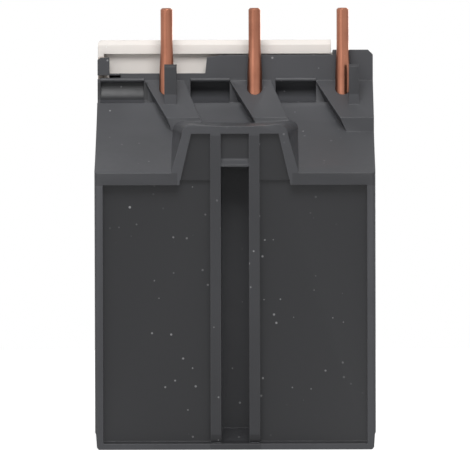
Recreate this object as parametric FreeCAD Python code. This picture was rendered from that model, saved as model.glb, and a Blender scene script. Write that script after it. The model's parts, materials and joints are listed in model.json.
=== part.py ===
"""Thermal overload relay, three poles, for plugging under a contactor.

Lengths are millimetres.  X runs across the width, the rear face looks along +Y and Z points up.
The origin is the middle of the base.  Each solid group is written to its own STEP file in parts/.
"""
import FreeCAD, Part
import math
import os

os.makedirs("parts", exist_ok=True)
V = FreeCAD.Vector

# ---------------------------------------------------------------- driving sizes
WIDTH = 45.0
DEPTH = 70.0
PIN_TIP_Z = 71.1
COVER_TOP_Z = 66.0
HALF = WIDTH / 2
Y_REAR = DEPTH / 2
Y_FRONT = -DEPTH / 2

# fits and gaps
GAP = 0.30            # between separate pieces that do not touch
SEAT = 0.05           # between pieces that sit on one another
RUN = 0.05            # radial running fit
SLIDE_GAP = 0.10      # between a slide and its guide

# rear housing
WALL = 2.0
FLOOR_T = 2.5
SHOULDER_Z = 44.3     # top of the vertical rear face
BAR_Z = SHOULDER_Z - 1.9   # lower edge of the top bars on the rear face
LIP_Z = 55.7          # top of the slope
LIP_Y = Y_REAR - 14.5
SLOPE_SAG = 0.5
ROOF_Z = 50.8         # underside of the shoulder
WALL_REAR_Y = Y_REAR - 17.0    # rear face of the upper wall
WALL_FRONT_Y = WALL_REAR_Y - WALL
WALL_TOP_Z = 63.5
CUT_TOP_Z = 60.5      # top of the cut-down part of the upper wall
BLOCK_TOP_Z = 64.3    # top of the corner block
SEAM_Z = 38.0         # dark lower part meets the light cover
TERMINAL_Z = 22.0     # top of the power terminal block
LUG_W = 1.9           # width of the corner lug on the upper wall
BLOCK_W = 6.5         # width of the corner block
BLOCK_DEPTH = 6.0
REAR_SETBACK = 1.5    # depth of the recessed rear panels
SHIELD_SETBACK = 0.9
BORDER = 1.35         # width of the raised rear borders
RIB_IN = 2.25
RIB_OUT = 3.95
RIB_Z0 = 2.8
RIB_Z1 = 50.6
CHANNEL_Z1 = SHOULDER_Z + 1.0
LEDGE_RISE = 1.1      # height of the sloping ledge over the channel
CHANNEL_DEPTH = 8.0
SHIELD_FOOT = 10.2    # half widths of the shield's rim, from the shoulder up
SHIELD_WAIST = 8.5
SHIELD_TOP = 6.6
SHIELD_FLARE = 1.9    # how far its walls spread on their way down to the slope
SHIELD_RIM = 1.4

# poles and pins
POLE_PITCH = 14.35
PIN_SHIFT = -3.2
PIN_R = 1.0
PIN_FOOT_R = 1.2      # thicker lower part that stands in the housing
PIN_NECK_Z = 60.5     # where the foot starts to narrow
PIN_TAPER = 4.0
PIN_Y = WALL_REAR_Y + 1.5
POLES = [POLE_PITCH, 0.0, -POLE_PITCH]
PINS = [x + PIN_SHIFT for x in POLES]
PAD_LOW_Y = WALL_REAR_Y + 7.2
PAD_LOW_Z = 53.2
PAD_HIGH_Z = 59.3
POCKET_TOP_Z = 59.2
POCKET_FRONT_Y = WALL_REAR_Y - 5.3

# power terminals
POWER_Y0 = Y_FRONT + 18.0     # front face of the power terminal block
POWER_DEPTH = 15.0
POWER_Y1 = POWER_Y0 + POWER_DEPTH     # its back, where it meets the housing
POWER_SCREW_Z = 10.5
POWER_SCREW_R = 2.0
POWER_HEAD_R = 3.5

# auxiliary terminals
AUX_OUTER_X = HALF - 5.5
AUX_INNER_X = 6.0
AUX_X = [AUX_OUTER_X, AUX_INNER_X, -AUX_INNER_X, -AUX_OUTER_X]
AUX_Y0 = Y_FRONT + 1.5
AUX_SCREW_Z = (TERMINAL_Z + SEAM_Z) / 2
AUX_SCREW_R = 1.75
AUX_HEAD_R = 2.75

# bimetals, slides and trip gear
BIMETAL_T = 1.0
BIMETAL_Y = WALL_FRONT_Y - 5.0
BIMETAL_W = 5.0
BIMETAL_Z0 = 17.1
BIMETAL_Z1 = SEAM_Z + 6.6
STRIP_T = 1.4
TRAY_Z = SEAM_Z + 0.2     # underside of the mechanism tray
TRAY_T = 2.0
TRAY_TOP = TRAY_Z + TRAY_T
TRIP_TRAVEL = 1.2
BLADE_X = AUX_OUTER_X - 3.0
LEVER_X = BLADE_X - 3.6
AUX_PLATE_Y = AUX_Y0 + 11.9
AUX_PLATE_T = 1.2
BLADE_Y = AUX_PLATE_Y + 2.1
SLIDER_Y0 = BIMETAL_Y - 4.2
SLIDER_Y1 = BIMETAL_Y + 4.2
NOSE_Y = SLIDER_Y0 - 1.2
LEVER_Y = (NOSE_Y + BLADE_Y) / 2
LEVER_ARM = (NOSE_Y - BLADE_Y) / 2
BLADE_T = 0.4
BLADE_Z0 = TRAY_TOP + 1.9
BRIDGE_Z0 = TRAY_TOP + 8.8
BRIDGE_Z1 = BRIDGE_Z0 + 2.0
CONTACT_Z = BRIDGE_Z0 - 2.0

# seats for the tray and windows for the cover's hooks
LEDGE_SPANS = [(POWER_Y1 - 4.0, BIMETAL_Y - 7.0), (BIMETAL_Y + 1.0, BIMETAL_Y + 15.0)]
HOOK_Y = [POWER_Y1 - 8.0, BIMETAL_Y - 3.0]
HOOK_T = 1.1
HOOK_W = 5.4
HOOK_Z0 = SEAM_Z - 6.0
HOOK_Z1 = SEAM_Z - 3.4

# front panel and what passes through it
SHELL = 1.8
INSIDE = HALF - SHELL         # inner faces of the cover's sides
CLEAR_T = 1.3
RIM_Y = Y_FRONT + CLEAR_T + GAP
PANEL_Y = RIM_Y + 1.9         # sunk face of the front panel
BUTTON_FACE_Y = RIM_Y + 0.2
COLLAR_Y = PANEL_Y + SHELL + GAP     # stop collars run behind the panel
COLLAR_T = 1.0
WEB_Y0 = PANEL_Y + 7.5
WEB_T = 1.5
WEB_Y1 = WEB_Y0 + WEB_T
STEP_X = -HALF + BLOCK_W + GAP       # the cover's roof is lower beyond this, beside the corner block
STEP_Z = BLOCK_TOP_Z - GAP
PANEL_TOP_Z = STEP_Z - 1.6
DIAL = (-HALF + 12.0, 53.5)
DIAL_R = 6.2
MIDDLE_X = DIAL[0] + 13.0            # column with the test button, window and selector
RESET = (MIDDLE_X + 8.0, 58.0)
STOP = (RESET[0], 46.5)
TEST = (MIDDLE_X, 58.5)
MODE = (MIDDLE_X, 44.8)
WINDOW = (MIDDLE_X, BRIDGE_Z0 + 2.6)
STEM_R = 1.5
TEST_STEM_R = 1.0
TEST_R = 1.3
STOP_R = 3.0
MODE_R = 2.5
MODE_SHAFT_R = 1.2
DIAL_SHAFT_R = 1.5
RESET_HALF_X = 4.2
RESET_HALF_Z = 3.2
PANEL_GAP = 0.25        # round each control in the panel


# ---------------------------------------------------------------- helpers
def box(x0, x1, y0, y1, z0, z1):
    """Block between the given limits."""
    return Part.makeBox(x1 - x0, y1 - y0, z1 - z0, V(x0, y0, z0))


def cyl(axis, x, y, z, r, length):
    """Cylinder that starts at a point and runs along +axis."""
    way = {"x": V(1, 0, 0), "y": V(0, 1, 0), "z": V(0, 0, 1)}[axis]
    return Part.makeCylinder(r, length, V(x, y, z), way)


def prism_yz(points, x0, x1):
    """Side outline given as (y, z) points, extruded from x0 to x1."""
    wire = Part.makePolygon([V(x0, y, z) for y, z in points + points[:1]])
    return Part.Face(wire).extrude(V(x1 - x0, 0, 0))


def prism_xz(points, y0, y1):
    """Rear outline given as (x, z) points, extruded from y0 to y1."""
    wire = Part.makePolygon([V(x, y0, z) for x, z in points + points[:1]])
    return Part.Face(wire).extrude(V(0, y1 - y0, 0))


def prism_xy(points, z0, z1):
    """Plan outline given as (x, y) points, extruded from z0 to z1."""
    wire = Part.makePolygon([V(x, y, z0) for x, y in points + points[:1]])
    return Part.Face(wire).extrude(V(0, 0, z1 - z0))


def join(first, *rest):
    """One solid from several that touch."""
    return first.fuse(list(rest)).removeSplitter()


def cut(body, *tools):
    """Body with every tool taken away."""
    return body.cut(list(tools))


def rounded(shape, radius, test):
    """Shape with the edges picked by test(start, end) rounded."""
    picked = [e for e in shape.Edges if len(e.Vertexes) == 2
              and test(e.Vertexes[0].Point, e.Vertexes[1].Point)]
    return shape.makeFillet(radius, picked) if picked else shape


def save(name, *solids):
    """Write one node."""
    shape = solids[0] if len(solids) == 1 else Part.makeCompound(list(solids))
    bad = [s for s in solids if not s.isValid()]
    print(name, "solids", len(shape.Solids), "volume %.1f" % shape.Volume, "INVALID" if bad else "")
    shape.exportStep("parts/%s.step" % name)


def coil(axis, centre, radius, wire_r, turns, length):
    """Compression spring along +axis: a six-sided wire carried along a helix in short straight runs."""
    steps = 10
    points = []
    for i in range(int(turns * steps) + 1):
        a = 2 * math.pi * i / steps
        points.append(V(radius * math.cos(a), radius * math.sin(a), length * i / (turns * steps)))
    corners = [V(radius + wire_r * math.cos(k * math.pi / 3), 0, wire_r * math.sin(k * math.pi / 3))
               for k in range(7)]
    spring = Part.Wire(Part.makePolygon(points)).makePipeShell([Part.makePolygon(corners)], True, False, 1)
    if axis == "x":
        spring.rotate(V(0, 0, 0), V(0, 1, 0), 90)
    if axis == "y":
        spring.rotate(V(0, 0, 0), V(1, 0, 0), -90)
    spring.translate(V(*centre))
    return spring


# ---------------------------------------------------------------- rear housing
def slope_z(y):
    """Height of the straight chord of the rear slope at depth y."""
    return SHOULDER_Z + (Y_REAR - y) / (Y_REAR - LIP_Y) * (LIP_Z - 0.7 - SHOULDER_Z)


def housing_outer():
    """Side outline of the housing with a hollow-ground slope, extruded over the width."""
    slope_end_z = LIP_Z - 0.7
    middle_y = (Y_REAR + LIP_Y) / 2
    start = V(-HALF, Y_REAR, SHOULDER_Z)
    middle = V(-HALF, middle_y - SLOPE_SAG * 0.6, slope_z(middle_y) - SLOPE_SAG)
    end = V(-HALF, LIP_Y, slope_end_z)
    rest = [(LIP_Y - 0.5, LIP_Z), (WALL_FRONT_Y, LIP_Z), (WALL_FRONT_Y, SEAM_Z), (POWER_Y0, SEAM_Z),
            (POWER_Y0, TERMINAL_Z), (POWER_Y1, TERMINAL_Z), (POWER_Y1, 0), (Y_REAR, 0),
            (Y_REAR, SHOULDER_Z)]
    line = Part.makePolygon([end] + [V(-HALF, y, z) for y, z in rest])
    arc = Part.Arc(start, middle, end).toShape()
    outline = Part.Wire(Part.__sortEdges__([arc] + line.Edges))
    solid = Part.Face(outline).extrude(V(WIDTH, 0, 0))
    return rounded(solid, 0.6, lambda a, b: abs(a.y - Y_REAR) < 0.01 and abs(b.y - Y_REAR) < 0.01
                   and abs(abs(a.x) - HALF) < 0.01 and abs(a.x - b.x) < 0.01)


def upper_wall():
    """Wall behind the light cover: a corner lug, a cut-down stretch, then a high stretch and the block."""
    x_lug = HALF - LUG_W
    x_step = 4.9
    x_block = -HALF + BLOCK_W
    lug_z = CUT_TOP_Z + 2.2
    round_x = 0.8
    points = [(HALF, ROOF_Z), (HALF, lug_z), (HALF - 0.5, lug_z + 0.4), (x_lug, lug_z + 0.4), (x_lug, CUT_TOP_Z),
              (x_step, CUT_TOP_Z), (x_step - 0.3, WALL_TOP_Z - 0.4), (x_step - 3.0, WALL_TOP_Z),
              (x_block, WALL_TOP_Z), (x_block, BLOCK_TOP_Z), (-HALF + round_x, BLOCK_TOP_Z),
              (-HALF, BLOCK_TOP_Z - round_x), (-HALF, ROOF_Z)]
    wall = prism_xz(points, WALL_FRONT_Y, WALL_REAR_Y)
    low = BLOCK_TOP_Z - 2.8
    block = prism_xz([(x_block, low), (x_block, BLOCK_TOP_Z), (-HALF + round_x, BLOCK_TOP_Z),
                      (-HALF, BLOCK_TOP_Z - round_x), (-HALF, low)], WALL_FRONT_Y - BLOCK_DEPTH, WALL_FRONT_Y)
    slot = box(HALF - 3.8, HALF + 1, WALL_FRONT_Y - 1, WALL_REAR_Y + 1, POCKET_TOP_Z + 0.4, POCKET_TOP_Z + 1.0)
    return cut(join(wall, block), slot)


def pad(x_top, x_low, side):
    """Inclined landing under one pin; x_top and x_low are its (+X, -X) limits at the wall and low down."""
    draft = 1.3
    low = ROOF_Z - 1.0

    def ring(y, spread):
        slant = (x_low[0] - x_top[0]) / (PAD_HIGH_Z - PAD_LOW_Z)
        foot = x_low[0] + slant * (PAD_LOW_Z - low)
        right = x_low[1] if side else x_low[1] + slant * (PAD_LOW_Z - low)
        corners = [(x_top[0] + spread, PAD_HIGH_Z), (foot + spread, low), (right, low),
                   (x_low[1], PAD_LOW_Z), (x_top[1], PAD_HIGH_Z)]
        return Part.makePolygon([V(x, y, z) for x, z in corners + corners[:1]])

    body = Part.makeLoft([ring(PAD_LOW_Y, 0.0), ring(WALL_REAR_Y - 0.5, draft)], True, True)
    wedge = prism_yz([(PAD_LOW_Y, low), (PAD_LOW_Y, PAD_LOW_Z), (WALL_REAR_Y, PAD_HIGH_Z),
                      (WALL_REAR_Y - 0.5, PAD_HIGH_Z), (WALL_REAR_Y - 0.5, low)], -HALF, HALF)
    return body.common(wedge)


# (+X, -X) limits of each landing at the wall and low down, measured from its pin
PADS = [((PINS[0] + 2.45, PINS[0] - 2.75), (PINS[0] - 0.05, PINS[0] - 5.45), False),
        ((PINS[1] + 2.9, PINS[1] - 2.6), (PINS[1] + 0.3, PINS[1] - 5.3), False),
        ((PINS[2] + 3.25, -HALF), (PINS[2] + 0.55, -HALF), True)]
POCKETS = [(PINS[0] + 3.75, HALF - 3.5), (PINS[1] + 4.1, PINS[0] - 3.85), (PINS[2] + 4.35, PINS[1] - 3.4)]


def shield():
    """Raised shield on the slope: rim in the rear plane, side walls drafted outwards down to the slope."""
    top_z = RIB_Z1 + SHIELD_RIM
    low_z = BAR_Z - 2.4

    def ring(y, out):
        up = out * 0.35
        foot = V(SHIELD_FOOT + out, y, SHOULDER_Z)
        waist = V(SHIELD_WAIST + out, y, top_z - 1.6 + up)
        bend = V(SHIELD_WAIST - 0.45 + out, y, top_z - 0.4 + up)
        top = V(SHIELD_TOP + out, y, top_z + 0.1 + up)
        right = [V(-p.x, p.y, p.z) for p in (foot, waist, bend, top)]
        corners = [Part.Arc(waist, bend, top).toShape(), Part.Arc(right[3], right[2], right[1]).toShape()]
        crown = Part.Arc(top, V(0, y, top_z - 0.25 + up), right[3]).toShape()
        base = [right[1], right[0], V(-foot.x, y, low_z), V(foot.x, y, low_z), foot, waist]
        chain = Part.makePolygon(base).Edges
        return Part.Wire(Part.__sortEdges__([crown] + corners + chain))

    return Part.makeLoft([ring(Y_REAR, 0.0), ring(LIP_Y + 3.0, SHIELD_FLARE)], True, True)


def rear_recesses():
    """What is sunk below the rear plane: two panels with sloping sills, and the shield's own recess."""
    far = Y_REAR + 1.0
    deep_y = Y_REAR - REAR_SETBACK
    panel_x = HALF - BORDER
    sill = [(far, 1.2), (deep_y, 3.6), (deep_y, BAR_Z), (far, BAR_Z)]
    panels = prism_yz(sill, -panel_x, panel_x)
    y0 = Y_REAR - SHIELD_SETBACK
    foot_x = SHIELD_FOOT - SHIELD_RIM + 0.1
    top_x = SHIELD_WAIST - SHIELD_RIM - 0.1
    inner = prism_xz([(foot_x, BAR_Z), (top_x, RIB_Z1), (-top_x, RIB_Z1), (-foot_x, BAR_Z)], y0, far)
    deep = prism_xz([(foot_x, BAR_Z - 1), (foot_x - 0.1, BAR_Z + 0.8), (-foot_x + 0.1, BAR_Z + 0.8),
                     (-foot_x, BAR_Z - 1)], deep_y, far)
    kept = [prism_yz([(y0 - 0.2, CHANNEL_Z1), (Y_REAR - 0.1, CHANNEL_Z1), (Y_REAR - 0.1, CHANNEL_Z1 + 0.3),
                      (y0 - 0.2, CHANNEL_Z1 + LEDGE_RISE + 0.2)], -RIB_IN, RIB_IN)]
    for s in (-1, 1):
        a, b = sorted((s * RIB_IN, s * RIB_OUT))
        kept.append(box(a, b, deep_y - 0.5, far, RIB_Z0, RIB_Z1 + 1))
    return cut(join(panels, inner, deep), *kept)


def post(x0, x1):
    """Dark hook beside a pin: an upright with a short nib towards the front."""
    y0 = PIN_Y + PIN_FOOT_R + GAP
    y1 = y0 + 1.7
    top = CUT_TOP_Z + 1.4
    outline = [(y0, PAD_LOW_Z), (y1, PAD_LOW_Z), (y1, top - 0.4), (y1 - 0.4, top), (y0, top)]
    return prism_yz(outline, x0, x1)


def rear_housing():
    """Dark main housing: base, sides, rear wall with its channel, slope, shield, pads, pockets, wall."""
    body = housing_outer()
    body = join(body, upper_wall(), shield(), *[pad(*p) for p in PADS])
    cavity = [(POWER_Y0 - 5, FLOOR_T), (Y_REAR - REAR_SETBACK - WALL, FLOOR_T),
              (Y_REAR - REAR_SETBACK - WALL, BAR_Z + 0.2), (LIP_Y + 1.3, ROOF_Z), (WALL_FRONT_Y, ROOF_Z),
              (WALL_FRONT_Y, ROOF_Z + 2), (POWER_Y0 - 5, ROOF_Z + 2)]
    body = cut(body, prism_yz(cavity, -HALF + WALL, HALF - WALL))

    channel_y = Y_REAR - CHANNEL_DEPTH
    trunk = box(-RIB_OUT - 0.2, RIB_OUT + 0.2, channel_y - WALL, Y_REAR - REAR_SETBACK - 0.5,
                FLOOR_T - 0.5, CHANNEL_Z1 + 1.2)
    hoods = []
    holes = []
    for x0, x1 in POCKETS:
        hoods.append(box(x0 - 1.2, x1 + 1.2, POCKET_FRONT_Y - 1.2, WALL_FRONT_Y + 0.5,
                         LIP_Z - 1.2, CUT_TOP_Z - 0.5))
        holes.append(box(x0, x1, POCKET_FRONT_Y, WALL_REAR_Y + 0.1, LIP_Z, POCKET_TOP_Z))
    holes.append(box(POCKETS[0][1] - 1, HALF - 0.5, WALL_REAR_Y - 1.1, WALL_REAR_Y + 0.1, LIP_Z, POCKET_TOP_Z))
    posts = [post(PINS[0] - 1.65, PINS[0] + 0.35), post(PINS[2] - 2.55, PINS[2] - 0.95)]
    supports = [box(x - 2.0, x + 2.0, BIMETAL_Y - 2.2, BIMETAL_Y + 2.2, FLOOR_T - 0.5,
                    BIMETAL_Z0 - 0.1 - STRIP_T) for x in POLES]
    ledges = []
    for s in (-1, 1):
        edge = s * (HALF - WALL + 0.2)
        outline = [(edge, TRAY_Z - 5), (edge, TRAY_Z - SEAT), (s * (HALF - WALL - 1.4), TRAY_Z - SEAT)]
        ledges += [prism_xz(outline, y0, y1) for y0, y1 in LEDGE_SPANS]
    body = join(body, trunk, *hoods, *posts, *supports, *ledges)

    holes.append(box(-RIB_IN, RIB_IN, channel_y, Y_REAR + 1, 3.0, CHANNEL_Z1))
    holes.append(rear_recesses())
    for x in PINS:
        holes.append(cyl("z", x, PIN_Y, ROOF_Z - 2, PIN_FOOT_R + RUN, 12))
    for s in (-1, 1):
        corner = [(s * (HALF + 1), -0.1), (s * (HALF - 0.7), -0.1), (s * (HALF - 0.3), 0.4),
                  (s * (HALF - 0.15), RIB_Z0 - 0.3), (s * HALF, RIB_Z0), (s * (HALF + 1), RIB_Z0)]
        holes.append(prism_xz(corner, POWER_Y1 - 1, Y_REAR + 1))
        a, b = sorted((s * (HALF - WALL - 1), s * (HALF + 1)))
        for y in HOOK_Y:
            holes.append(box(a, b, y - HOOK_W / 2 - GAP, y + HOOK_W / 2 + GAP, HOOK_Z0, HOOK_Z1))
        a, b = sorted((s * (HALF - 0.6), s * (HALF + 1)))
        holes.append(box(a, b, POWER_Y1 + 4.0, Y_REAR - 5.0, 6.0, SEAM_Z - 10.0))
    body = cut(body, *holes)
    return body


# ---------------------------------------------------------------- power path
POWER_PLATE_Y = POWER_Y0 + 11.9
POWER_PLATE_T = 1.4
POWER_CLAMP_Y = POWER_Y0 + 5.6
POWER_CLAMP_T = 1.4
STRIP_Z1 = BIMETAL_Z0 - 0.1
STRIP_Z0 = STRIP_Z1 - STRIP_T
COIL_WIRE = 0.9
COIL_X = 2.65
COIL_Y = 3.55
COIL_TOP_Z = SEAM_Z - 1.7
LEG_Y0 = PIN_Y - 0.8


def pin_conductor(x_pole, x_pin):
    """Copper pin on a thicker foot, a flat jog towards its pole and a leg down to the winding."""
    thin_z = PIN_NECK_Z + PIN_TAPER
    foot = cyl("z", x_pin, PIN_Y, 46.0, PIN_FOOT_R, PIN_NECK_Z - 46.0)
    taper = Part.makeCone(PIN_FOOT_R, PIN_R, PIN_TAPER, V(x_pin, PIN_Y, PIN_NECK_Z))
    pin = cyl("z", x_pin, PIN_Y, thin_z, PIN_R, PIN_TIP_Z - thin_z)
    tip = [e for e in pin.Edges if e.BoundBox.ZMin > PIN_TIP_Z - 0.01]
    pin = join(foot, taper, pin.makeChamfer(0.25, tip))
    jog = box(x_pin - 1.6, x_pole + 1.5, LEG_Y0, LEG_Y0 + 1.6, 43.6, 47.4)
    leg = box(x_pole - 1.5, x_pole + COIL_X + 0.5, LEG_Y0, LEG_Y0 + 1.6, COIL_TOP_Z - 1.0, 43.6)
    return join(pin, jog, leg)


def heater(x):
    """Square resistance wire wound round the bimetal, with a lead at each end."""
    turns = 6
    z_start = STRIP_Z1 + 2.2
    rise = (COIL_TOP_Z - z_start) / (turns * 4)
    corners = [(COIL_X, -COIL_Y), (COIL_X, COIL_Y), (-COIL_X, COIL_Y), (-COIL_X, -COIL_Y)]
    points = []
    for i in range(turns * 4 + 1):
        cx, cy = corners[i % 4]
        points.append(V(x + cx, BIMETAL_Y + cy, z_start + rise * i))
    points.append(V(x + COIL_X, BIMETAL_Y + COIL_Y, COIL_TOP_Z + rise))
    points.append(V(x + COIL_X, LEG_Y0 - 0.02, COIL_TOP_Z + rise))
    half = COIL_WIRE / 2
    first = points[0]
    ring = Part.makePolygon([first + V(dx, 0, dz) for dx, dz in
                             ((-half, -half), (half, -half), (half, half), (-half, half), (-half, -half))])
    winding = Part.Wire(Part.makePolygon(points)).makePipeShell([ring], True, False, 1)
    lead = box(first.x - half, first.x + half, first.y - half, first.y + half,
               STRIP_Z1 + 0.02, first.z + half)
    return join(winding, lead)


def bimetal(x):
    """Thermal strip: two bonded layers seen as one blade with a narrow tip."""
    t = BIMETAL_T / 2
    y0 = BIMETAL_Y - BIMETAL_W / 2
    y1 = BIMETAL_Y + BIMETAL_W / 2
    outline = [(y0, BIMETAL_Z0), (y1, BIMETAL_Z0), (y1, BIMETAL_Z1 - 1.5), (y1 - 1.2, BIMETAL_Z1),
               (y0 + 1.2, BIMETAL_Z1), (y0, BIMETAL_Z1 - 1.5)]
    return prism_yz(outline, x - t, x + t)


def load_conductor(x):
    """Terminal plate with a plain hole for the screw, folded back as a strip to the bimetal's foot."""
    plate = box(x - 4.5, x + 4.5, POWER_PLATE_Y, POWER_PLATE_Y + POWER_PLATE_T, 3.6, STRIP_Z1)
    strip = box(x - 2.6, x + 2.6, POWER_PLATE_Y, BIMETAL_Y + 2.8, STRIP_Z0, STRIP_Z1)
    foot = box(x - 3.3, x + 3.3, BIMETAL_Y - 4.4, BIMETAL_Y + 2.8, STRIP_Z0, STRIP_Z1)
    hole = cyl("y", x, POWER_PLATE_Y - 1, POWER_SCREW_Z, POWER_SCREW_R + RUN, 4)
    return cut(join(plate, strip, foot), hole)


def screw(x, z, y_head, head_r, head_t, shank_r, tip_y):
    """Pan-head screw along Y with a cross recess, head to the front."""
    head = cyl("y", x, y_head, z, head_r, head_t)
    edge = [e for e in head.Edges if e.BoundBox.YMax < y_head + 0.01]
    head = head.makeChamfer(head_t * 0.22, edge)
    shank = cyl("y", x, y_head + head_t, z, shank_r, tip_y - y_head - head_t)
    end = [e for e in shank.Edges if e.BoundBox.YMin > tip_y - 0.01]
    shank = shank.makeChamfer(shank_r * 0.3, end)
    arm = head_r * 0.62
    recess = [box(x - arm, x + arm, y_head - 1, y_head + head_t * 0.55, z - 0.4, z + 0.4),
              box(x - 0.4, x + 0.4, y_head - 1, y_head + head_t * 0.55, z - arm, z + arm)]
    return cut(join(head, shank), *recess)


def clamp(x, z, y0, t, half_x, half_z, hole_r):
    """Pressure plate under a screw head, with its two side edges turned towards the wire."""
    plate = box(x - half_x, x + half_x, y0, y0 + t, z - half_z, z + half_z)
    ears = [box(x - half_x, x - half_x + 0.7, y0 + t, y0 + t + 0.7, z - half_z, z + half_z),
            box(x + half_x - 0.7, x + half_x, y0 + t, y0 + t + 0.7, z - half_z, z + half_z)]
    return cut(join(plate, *ears), cyl("y", x, y0 - 1, z, hole_r, t + 2))


POWER_HEAD_T = 2.4
AUX_CLAMP_Y = AUX_Y0 + 7.1
AUX_CLAMP_T = 1.0
AUX_HEAD_T = 2.0


def power_terminal_block():
    """Dark block with three terminal wells: screw hole in front, wire funnel below, slot behind."""
    y1 = POWER_Y1 - SEAT
    body = box(-HALF, HALF, POWER_Y0, y1, 0, TERMINAL_Z - SEAT)
    body = rounded(body, 0.8, lambda a, b: abs(a.y - POWER_Y0) < 0.01 and abs(b.y - POWER_Y0) < 0.01
                   and abs(a.x - b.x) < 0.01)
    tools = []
    for x in POLES:
        tools.append(box(x - 5.2, x + 5.2, POWER_Y0 + 1.8, POWER_PLATE_Y + POWER_PLATE_T + SEAT, 2.2, TERMINAL_Z - 3.2))
        tools.append(cyl("y", x, POWER_Y0 - 1, POWER_SCREW_Z, POWER_HEAD_R + 0.6, 4))
        tools.append(cyl("y", x, POWER_PLATE_Y, POWER_SCREW_Z, POWER_SCREW_R + 0.5, 5))
        tools.append(box(x - 2.9, x + 2.9, POWER_PLATE_Y, y1 + 1, STRIP_Z0 - 0.2, STRIP_Z1 + 0.2))
        rings = []
        for half_x, front, back, z in ((4.4, 0.4, 0.5, -0.1), (3.6, POWER_CLAMP_T, 0.0, 2.3)):
            y0 = POWER_CLAMP_Y + front
            y1_ring = POWER_PLATE_Y + back
            rings.append(Part.makePolygon([V(x - half_x, y1_ring, z), V(x + half_x, y1_ring, z),
                                           V(x + half_x, y0, z), V(x - half_x, y0, z),
                                           V(x - half_x, y1_ring, z)]))
        tools.append(Part.makeLoft(rings, True, True))
    for x in (POLE_PITCH / 2, -POLE_PITCH / 2):
        tools.append(box(x - 0.6, x + 0.6, POWER_Y0 - 1, POWER_Y0 + 1.4, -1, TERMINAL_Z - 2.0))
    return cut(body, *tools)


def aux_terminal_block():
    """Dark block with four small terminal wells and a tongue that plugs into the housing."""
    y1 = POWER_Y0 - SEAT
    body = box(-HALF, HALF, AUX_Y0, y1, TERMINAL_Z, SEAM_Z - SEAT)
    body = rounded(body, 0.8, lambda a, b: abs(a.y - AUX_Y0) < 0.01 and abs(b.y - AUX_Y0) < 0.01
                   and abs(a.x - b.x) < 0.01)
    tongue = box(-HALF + WALL + GAP, HALF - WALL - GAP, y1 - 0.5, POWER_Y0 + 3.0,
                 TERMINAL_Z, SEAM_Z - SEAT)
    body = join(body, tongue)
    tools = [box(-HALF + WALL + GAP + 1.5, HALF - WALL - GAP - 1.5, y1 + 0.8, POWER_Y0 + 4.0,
                 TERMINAL_Z + 1.5, SEAM_Z - 1.6)]
    for x in AUX_X:
        tools.append(box(x - 3.8, x + 3.8, AUX_Y0 + 1.7, AUX_PLATE_Y + AUX_PLATE_T + SEAT,
                         TERMINAL_Z + 2.0, SEAM_Z - 2.4))
        tools.append(cyl("y", x, AUX_Y0 - 1, AUX_SCREW_Z, AUX_HEAD_R + 0.45, 4))
        tools.append(cyl("y", x, AUX_PLATE_Y, AUX_SCREW_Z, AUX_SCREW_R + 0.4, 7))
        tools.append(box(x - 1.4, x + 1.4, AUX_PLATE_Y - 0.2, AUX_PLATE_Y + AUX_PLATE_T + SEAT,
                         SEAM_Z - 3.0, SEAM_Z + 1))
        tools.append(box(x - 2.9, x + 2.9, AUX_CLAMP_Y + AUX_CLAMP_T, AUX_PLATE_Y,
                         TERMINAL_Z - 1, TERMINAL_Z + 2.5))
    middle = (AUX_OUTER_X + AUX_INNER_X) / 2
    for x in (0.0, middle, -middle):
        tools.append(box(x - 0.5, x + 0.5, AUX_Y0 - 1, AUX_Y0 + 1.2, TERMINAL_Z - 1, SEAM_Z - 2))
    return cut(body, *tools)


# ---------------------------------------------------------------- auxiliary contacts
def aux_stem(x):
    """Terminal plate and the upright that carries it into the mechanism."""
    plate = box(x - 3.5, x + 3.5, AUX_PLATE_Y, AUX_PLATE_Y + AUX_PLATE_T, TERMINAL_Z + 3.4, SEAM_Z - 3.2)
    upright = box(x - 1.1, x + 1.1, AUX_PLATE_Y, AUX_PLATE_Y + AUX_PLATE_T, SEAM_Z - 3.2, TRAY_TOP + 1.8)
    hole = cyl("y", x, AUX_PLATE_Y - 1, AUX_SCREW_Z, AUX_SCREW_R + RUN, 4)
    return cut(join(plate, upright), hole)


def fixed_contact(x, tip_x):
    """Outer terminal with a stiff blade and a contact rivet that ends at tip_x."""
    s = 1 if x > 0 else -1
    a, b = sorted((x - 0.4 * s, x + 0.4 * s))
    y0 = BLADE_Y - 1.1
    z0 = TRAY_TOP + 0.9
    blade = box(a, b, AUX_PLATE_Y, y0 + 2.2, z0, BRIDGE_Z0 - 0.6)
    c, d = sorted((x - 0.4 * s, tip_x))
    rivet = cyl("x", c, BLADE_Y, CONTACT_Z, 0.8, d - c)
    return join(aux_stem(x), blade, rivet)


def blade_terminal(x, x_blade):
    """Inner terminal whose top is folded sideways to carry the moving blade."""
    a, b = sorted((x - 1.1 if x_blade > x else x + 1.1, x_blade + (0.9 if x_blade > x else -0.9)))
    run = box(a, b, AUX_PLATE_Y, BLADE_Y + 1.1, BLADE_Z0 - 1.0, BLADE_Z0 - 0.1)
    return join(aux_stem(x), run)


def moving_blade(x, tip_x):
    """Thin spring blade with a contact rivet; tip_x is the rivet's face."""
    t = BLADE_T / 2
    blade = box(x - t, x + t, BLADE_Y - 1.1, BLADE_Y + 1.1, BLADE_Z0, BRIDGE_Z1 + 1.4)
    a, b = sorted((x, tip_x))
    return join(blade, cyl("x", a, BLADE_Y, CONTACT_Z, 0.8, b - a))


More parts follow.
